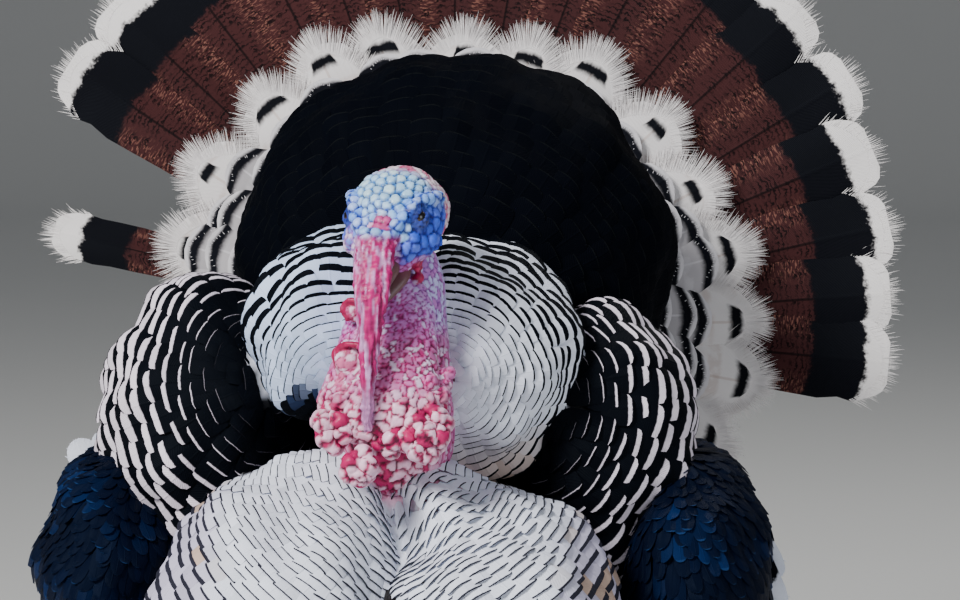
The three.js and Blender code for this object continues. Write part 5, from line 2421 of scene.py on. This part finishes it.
    def scales(self, points: Array, normals: Array) -> tuple[Array, Array]:
        """The relief and the colours of legs and feet: broad scutes in front and on top, beads elsewhere.

        Args:
            points: Points of the legs and the feet.
            normals: The ways out there.

        Returns:
            How far each is raised, and its colour.
        """
        beads = Beads(points)
        beads.lay(Patch(0.0036, 0.0004, self.leg, self.leg, self.leg_groove, (0.42, 0.2, 0.16), 0.4), 1.0)
        height, tint = beads.raised(17)
        spread = points[:, 1] - STANCE_Y
        toes = points[:, 2] < self.toe_top
        along = np.where(toes, np.hypot(spread, np.abs(points[:, 0]) - Leg.half_stance), points[:, 2])
        wave = np.mod(along / self.scute, 1.0)
        scute = smooth(0.0, 0.14, wave) * smooth(1.0, 0.8, wave)
        broad = np.where(toes, smooth(0.25, 0.6, normals[:, 2]), smooth(0.2, 0.6, -normals[:, 1]))
        front = 0.0006 * scute
        banded = shades((self.leg_groove, self.leg), scute)
        height = blend((height, front), broad) * smooth(0.0012, 0.004, points[:, 2])
        return height, blend((tint, banded), broad[:, None])


@dataclass(frozen=True)
class Leg:
    """One leg from the feathered thigh to the toes."""

    sign: int
    half_stance: float = 0.084
    hock: Pair = (0.142, 0.168)
    # Each toe's turn from straight ahead, in degrees, its length and the number of its middle joints.
    toes: tuple[tuple[int, float, int], ...] = (
        (-28, 0.066, 2), (3, 0.092, 3), (34, 0.074, 3), (196, 0.034, 1),
    )

    def grow(self, flesh: Flesh) -> None:
        """Adds the thigh's lower end, the shank, the ball of the foot and the toes.

        Args:
            flesh: Takes the masses.
        """
        x = self.sign * self.half_stance
        hock_y, hock_z = self.hock
        flesh.limb([
            (self.sign * 0.07, 0.095, 0.235, 0.034, 0.042),
            (self.sign * 0.078, 0.11, 0.21, 0.03, 0.036),
            (x, hock_y - 0.012, 0.188, 0.019, 0.024),
            (x, hock_y, hock_z + 0.002, 0.0125, 0.0155),
        ])
        flesh.limb([
            (x, hock_y - 0.004, hock_z + 0.022, 0.0118, 0.0128),
            (x, hock_y, hock_z, 0.0128, 0.0156),
            (x, hock_y - 0.004, hock_z - 0.018, 0.0098, 0.0118),
            (x, blend((hock_y, STANCE_Y), 0.35), 0.116, 0.0078, 0.0088),
            (x, blend((hock_y, STANCE_Y), 0.7), 0.066, 0.0078, 0.0088),
            (x, STANCE_Y + 0.002, 0.03, 0.0098, 0.0118),
            (x, STANCE_Y, 0.012, 0.0098, 0.01),
        ], steps=40)
        flesh.ball((x, STANCE_Y, 0.0125), (0.0145, 0.0155, 0.0124))
        for turn, length, joints in self.toes:
            self.toe(flesh, turn, length, joints)

    def tip(self, turn: float, length: float) -> Array:
        """Where a toe ends, on the floor.

        Args:
            turn: The toe's turn from straight ahead, in degrees.
            length: Its length.

        Returns:
            The point.
        """
        angle = radians(turn)
        x = self.sign * (self.half_stance + length * sin(angle))
        return np.array([x, STANCE_Y - length * cos(angle), 0.0])

    def toe(self, flesh: Flesh, turn: float, length: float, joints: int) -> None:
        """Adds one toe, with its pads under the joints.

        Args:
            flesh: Takes the masses.
            turn: The toe's turn from straight ahead, in degrees.
            length: Its length.
            joints: How many pads it has.
        """
        start, end = np.array([self.sign * self.half_stance, STANCE_Y, 0.0]), self.tip(turn, length)
        steps = joints * 2
        stations = []
        for i in range(steps + 1):
            share = i / steps
            knuckle = 1.0 if i % 2 else 0.88
            radius = 0.008 * blend((1.08, 0.72), share) * knuckle
            middle = start + (end - start) * share
            height = max(blend((0.012, 0.0045), sqrt(share)), radius * 0.8)
            stations.append((middle[0], middle[1], height, radius, radius * 0.78))
        flesh.limb(stations, around=20, steps=12 * joints)


# ---------------- eyes, horn and bristles


@dataclass(frozen=True)
class Eye:
    """One eyeball: dark pupil, brown iris, pale rim, and a cornea that bulges a little."""

    side: str

    angles: tuple[float, ...] = (
        0.0, 6.0, 11.0, 15.0, 17.5, 19.0, 22.0, 27.0, 32.0, 36.0, 38.0, 41.0, 48.0, 60.0, 80.0, 110.0,
        145.0, 180.0,
    )
    bulge: float = 0.0005

    def build(self) -> None:
        """Makes the eye's piece."""
        sign = SIDES[self.side]
        shape = bmesh.new()
        rings = len(self.angles) - 1
        bmesh.ops.create_uvsphere(shape, u_segments=48, v_segments=rings, radius=1.0)
        outward = Vector((sign * EYE_OUT[0], *EYE_OUT[1:])).normalized()
        centre = Vector((sign * EYE_AT[0], *EYE_AT[1:]))
        place = HEAD @ Matrix.Translation(centre) @ outward.to_track_quat("Z", "Y").to_matrix().to_4x4()
        colours = []
        for vert in shape.verts:
            ring = acos(max(-1.0, min(1.0, vert.co.z))) / pi * rings
            angle = float(np.interp(ring, range(rings + 1), self.angles))
            turn = atan2(vert.co.y, vert.co.x)
            bulge = self.bulge * cos(radians(min(90.0, angle * 2.2)))
            radius, slant = EYE_RADIUS + bulge, radians(angle)
            flat = radius * sin(slant)
            vert.co = (flat * cos(turn), flat * sin(turn), radius * cos(slant))
            colours.append(self.tint(angle))
        shape.transform(place)
        mesh = dyed(meshed(shape, f"eyeball_{self.side}"), np.array(colours))
        Bench.piece(f"eyeball_{self.side}", mesh, EYEBALL.material(), "eye", (f"eye_{self.side}",))

    @staticmethod
    def tint(angle: float) -> Vec:
        """The colour at an angle from the pupil's middle.

        Args:
            angle: The angle, in degrees.

        Returns:
            The colour.
        """
        places = (0, 17.5, 19.0, 27.0, 36.0, 38.0, 48.0, 180.0)
        tints = ((0.001,) * 3, (0.001,) * 3, (0.012, 0.005, 0.003), (0.036, 0.015, 0.007),
                 (0.02, 0.009, 0.005), (0.006, 0.004, 0.004), (0.1, 0.08, 0.1), (0.2, 0.15, 0.15))
        return tuple(float(np.interp(angle, places, [tint[k] for tint in tints])) for k in range(3))


@dataclass(frozen=True)
class Bill:
    """The horn of the bill, in two halves."""

    upper: tuple[Station, ...] = (
        (0.0, -0.032, -0.002, 0.0156, 0.0098), (0.0, -0.047, -0.002, 0.0118, 0.0083),
        (0.0, -0.062, -0.005, 0.0064, 0.0058), (0.0, -0.073, -0.0105, 0.0022, 0.0026),
    )
    lower: tuple[Station, ...] = (
        (0.0, -0.024, -0.013, 0.0166, 0.0058), (0.0, -0.038, -0.0145, 0.0156, 0.0053),
        (0.0, -0.05, -0.015, 0.0103, 0.0043), (0.0, -0.063, -0.015, 0.003, 0.002),
    )
    base: Vec = (0.15, 0.05, 0.062)
    middle: Vec = (0.14, 0.066, 0.07)
    tip: Vec = (0.13, 0.092, 0.074)
    nostril: tuple[float, ...] = (0.0078, -0.039, 0.004, 0.0024)

    def build(self) -> None:
        """Makes both pieces."""
        material = BILL_HORN.material()
        for half, stations in (("upper", self.upper), ("lower", self.lower)):
            flesh = Flesh()
            flesh.limb(stations, HEAD, 32, 28)
            mesh = flesh.plain(f"bill_{half}_horn")
            dyed(mesh, self.tints(moved(HEAD.inverted(), corners(mesh, "co")), half == "upper"))
            Bench.piece(f"bill_{half}_horn", mesh, material, "horn", (f"bill_{half}",))

    def tints(self, local: Array, upper: bool) -> Array:
        """The horn's colours: darker at the gape, paler towards the tip, with painted shade in the nostrils
        and along the upper half's lower edge at the mouth line.

        Args:
            local: The points, in the head's frame.
            upper: Whether it is the upper half.

        Returns:
            The colours.
        """
        share, far = smooth(-0.03, -0.052, local[:, 1]), smooth(-0.05, -0.07, local[:, 1])
        tint = blend((shades((self.base, self.middle), share), np.array(self.tip)), far[:, None])
        if upper:
            x, y, z, r = self.nostril
            mirrored = np.c_[np.abs(local[:, 0]), local[:, 1:]]
            away = np.linalg.norm((mirrored - (x, y, z)) * (1.0, 0.6, 1.0), axis=1)
            # Painted shade in the nostril openings.
            tint = tint * (1 - 0.85 * smooth(r, r * 0.5, away))[:, None]
            # Painted shade along the upper half's lower edge, at the mouth line.
            tint = tint * (1 - 0.7 * smooth(-0.004, -0.009, local[:, 2]))[:, None]
        return tint


@dataclass(frozen=True)
class Talons:
    """The claws of one foot and its spur."""

    reach: tuple[float, ...] = (-0.005, 0.003, 0.009, 0.0138)  # along the toe, from its end
    height: tuple[float, ...] = (0.0065, 0.007, 0.005, 0.0018)
    size: tuple[float, ...] = (0.0034, 0.003, 0.002, 0.0007)
    names: tuple[str, ...] = ("inner", "middle", "outer", "hind")
    spur_length: float = 0.022
    dark: Vec = (0.04, 0.03, 0.026)
    pale: Vec = (0.16, 0.12, 0.095)

    def build(self) -> None:
        """Makes the pieces of both feet."""
        material = CLAW_HORN.material()
        for side, sign in SIDES.items():
            leg, flesh = Leg(sign), Flesh()
            for turn, length, _ in Leg.toes:
                end = leg.tip(turn, length)
                out = unit(end - np.array([sign * Leg.half_stance, STANCE_Y, 0.0]))
                flesh.limb([
                    (end[0] + out[0] * r, end[1] + out[1] * r, height, size, size)
                    for r, height, size in zip(self.reach, self.height, self.size)
                ], around=16, steps=16)
            mesh = flesh.plain(f"claws_{side}")
            dyed(mesh, np.tile(self.dark, (len(mesh.vertices), 1)))
            nodes = tuple(f"claw_{name}_{side}" for name in self.names)
            Bench.piece(f"claws_{side}", mesh, material, "claw", nodes)
            self.spur(side, sign, material)

    def spur(self, side: str, sign: int, material: Material) -> None:
        """Makes one spur's piece.

        Args:
            side: "left" or "right".
            sign: That side's sign.
            material: The finish.
        """
        x = sign * (Leg.half_stance - 0.005)
        y = blend((Leg.hock[0], STANCE_Y), 0.68) + 0.005
        stations = []
        for share in (0.0, 0.4, 0.75, 1.0):
            radius = blend((0.0054, 0.001), share)
            at = (x - sign * 0.35 * self.spur_length * share, y + self.spur_length * share)
            stations.append((*at, 0.066 + 0.005 * share * share, radius, radius))
        flesh = Flesh()
        flesh.limb(stations, around=20, steps=18)
        mesh = flesh.plain(f"spur_horn_{side}")
        share = np.clip((corners(mesh, "co")[:, 1] - y) / self.spur_length, 0, 1)
        dyed(mesh, shades((self.dark, self.pale), share))
        Bench.piece(f"spur_horn_{side}", mesh, material, "claw", (f"spur_{side}",))


@dataclass(frozen=True)
class Beard:
    """The tassel of bristles on the breast."""

    path: tuple[Vec, ...] = (
        (0.004, -0.134, 0.352), (0.004, -0.176, 0.338), (0.004, -0.207, 0.3), (0.003, -0.217, 0.236),
        (0.002, -0.208, 0.168),
    )
    bristles: int = 260
    spread: Pair = (0.005, 0.0095)  # the tassel's radius at the root and at the end
    thickness: float = 0.00055
    rows: int = 12
    seed: int = 91

    def build(self) -> None:
        """Makes the tassel's piece."""
        rng = np.random.default_rng(self.seed)
        fine = bowed(np.array(self.path), 60)
        share = np.linspace(0, 1, self.rows)
        reach = rng.uniform(0.72, 1.0, self.bristles) ** 0.6
        at = share[None, :] * reach[:, None]
        middle = np.stack([np.interp(at, np.linspace(0, 1, 60), fine[:, k]) for k in range(3)], -1)
        turn = rng.uniform(0, TAU, self.bristles)
        disc = np.sqrt(rng.uniform(0, 1, self.bristles))
        stray = np.stack([disc * np.cos(turn), disc * np.sin(turn) * 0.8], 1)
        wander = rng.normal(0, 0.001, (self.bristles, 2))
        offset = stray[:, None] * blend(self.spread, at)[..., None] + wander[:, None] * at[..., None] ** 2
        middle[..., :2] += offset
        size = self.thickness * (1 - 0.6 * share**3)
        rings = []
        for k in range(3):
            angle = turn + TAU * k / 3
            ring = np.stack([np.cos(angle), np.sin(angle), np.zeros_like(angle)], 1)
            rings.append(middle + ring[:, None] * size[None, :, None])
        points = np.stack(rings, 2).reshape(self.bristles, -1, 3)
        faces = [(0, 1, 2), tuple(3 * self.rows - 3 + k for k in (2, 1, 0))]
        for j in range(self.rows - 1):
            for k in range(3):
                low, low_next = 3 * j + k, 3 * j + (k + 1) % 3
                faces.append((low, low + 3, low_next + 3, low_next))
        along = np.stack([np.tile((0.0, 0.5, 1.0), self.rows), np.repeat(share, 3)], 1)
        tone = rng.uniform(0.6, 1.6, (self.bristles, 1))
        batch = Batch()
        batch.add(
            Chunk(
                points=points, faces=faces, along=along, marks=np.zeros((self.bristles, 3)),
                dye=tone * [0.012, 0.01, 0.01], root=0.5 + 0.42 * stray,
                patch=0.5 / sqrt(self.bristles), rim=np.zeros(len(along), bool),
            )
        )
        mesh = batch.mesh("beard_bristles")
        Bench.piece("beard_bristles", mesh, BRISTLE.material(), "feather_black", ("beard",))


# ---------------- stage


@dataclass(frozen=True)
class Studio:
    """A pale floor, soft lights and the camera."""

    azimuth: float = 4.0  # degrees towards the bird's left
    elevation: float = 5.0
    distance: float = 2.3
    lens: float = 130.7
    aim: Vec = (0.0555, -0.1, 0.531)
    sky: Vec = (0.92, 0.95, 1.0)
    sky_strength: float = 0.2
    floor_tints: tuple[Vec, Vec] = ((0.66, 0.67, 0.66), (0.7, 0.7, 0.69))
    floor_size: float = 30.0
    sweep_start: float = 9.0  # how far behind the bird the floor begins to rise
    sweep: float = 4.0  # the radius of the rise

    def build(self) -> None:
        """Makes the stage."""
        self.floor()
        self.camera()
        self.light("key", (-1.7, -2.3, 2.6), 1.0, 190.0, (1.0, 0.985, 0.97))
        self.light("fill", (2.4, -2.6, 1.4), 2.0, 34.0, (0.9, 0.94, 1.0))
        self.light("rim", (1.2, 2.0, 2.8), 1.2, 26.0, (1.0, 0.98, 0.95))
        world = bpy.data.worlds.new("studio")
        world.use_nodes = True
        background = world.node_tree.nodes["Background"]
        background.inputs["Color"].default_value = colour(self.sky)
        background.inputs["Strength"].default_value = self.sky_strength
        bpy.context.scene.world = world

    def floor(self) -> None:
        """The pale floor, which rises behind the bird in one wide curve."""
        profile = [(-self.floor_size, 0.0), (self.sweep_start, 0.0)]
        for i in range(1, 25):
            turn = pi / 2 * i / 24
            ahead, up = self.sweep * sin(turn), self.sweep * (1 - cos(turn))
            profile.append((self.sweep_start + ahead, up))
        profile.append((self.sweep_start + self.sweep, self.floor_size))
        shape = bmesh.new()
        sides = [[shape.verts.new((side * self.floor_size, y, z)) for y, z in profile] for side in (-1, 1)]
        for left, right, far_right, far_left in zip(sides[0], sides[1], sides[1][1:], sides[0][1:]):
            shape.faces.new((left, right, far_right, far_left)).smooth = True
        mesh = bpy.data.meshes.new("floor")
        shape.to_mesh(mesh)
        shape.free()
        material, tree, shader = new_material("floor", Gloss(roughness=0.8, specular=0.2))
        place = tree.add("ShaderNodeTexCoord").outputs["Object"]
        shade = tree.mix(tree.noise(place, 0.7, 3.0), *self.floor_tints)
        tree.put(shader.inputs["Base Color"], shade)
        mesh.materials.append(material)
        floor = placed("floor", mesh)

    def camera(self) -> None:
        """The camera, at the height of the breast and a little to the bird's left."""
        turn, rise = radians(self.azimuth), radians(self.elevation)
        back = Vector((sin(turn) * cos(rise), -cos(turn) * cos(rise), sin(rise)))
        data = bpy.data.cameras.new("camera")
        data.lens = self.lens
        data.sensor_width = 36.0
        data.clip_end = 200.0
        camera = placed("camera", data)
        camera.location = Vector(self.aim) + Vector(HOME) + back * self.distance
        camera.rotation_euler = back.to_track_quat("Z", "Y").to_euler()
        bpy.context.scene.camera = camera

    @staticmethod
    def light(name: str, place: Vec, size: float, power: float, tint: Vec) -> None:
        """A soft square light that faces the bird.

        Args:
            name: Its name.
            place: Where it stands.
            size: The length of its sides.
            power: Its power, in watts.
            tint: Its colour.
        """
        data = bpy.data.lights.new(name, "AREA")
        data.size, data.energy, data.color = size, power, tint
        lamp = placed(name, data)
        lamp.location = place
        lamp.rotation_euler = (Vector(place) - Vector((0, 0, 0.45))).to_track_quat("Z", "Y").to_euler()


def main() -> None:
    """Builds the bird and the stage."""
    logging.basicConfig(level=logging.INFO, format="%(message)s")
    Studio().build()
    Skin().build()
    Coat().build()
    Tail().build()
    Wings().build()
    for side in SIDES:
        Eye(side).build()
    Bill().build()
    Talons().build()
    Beard().build()


if __name__ == "__main__":
    main()
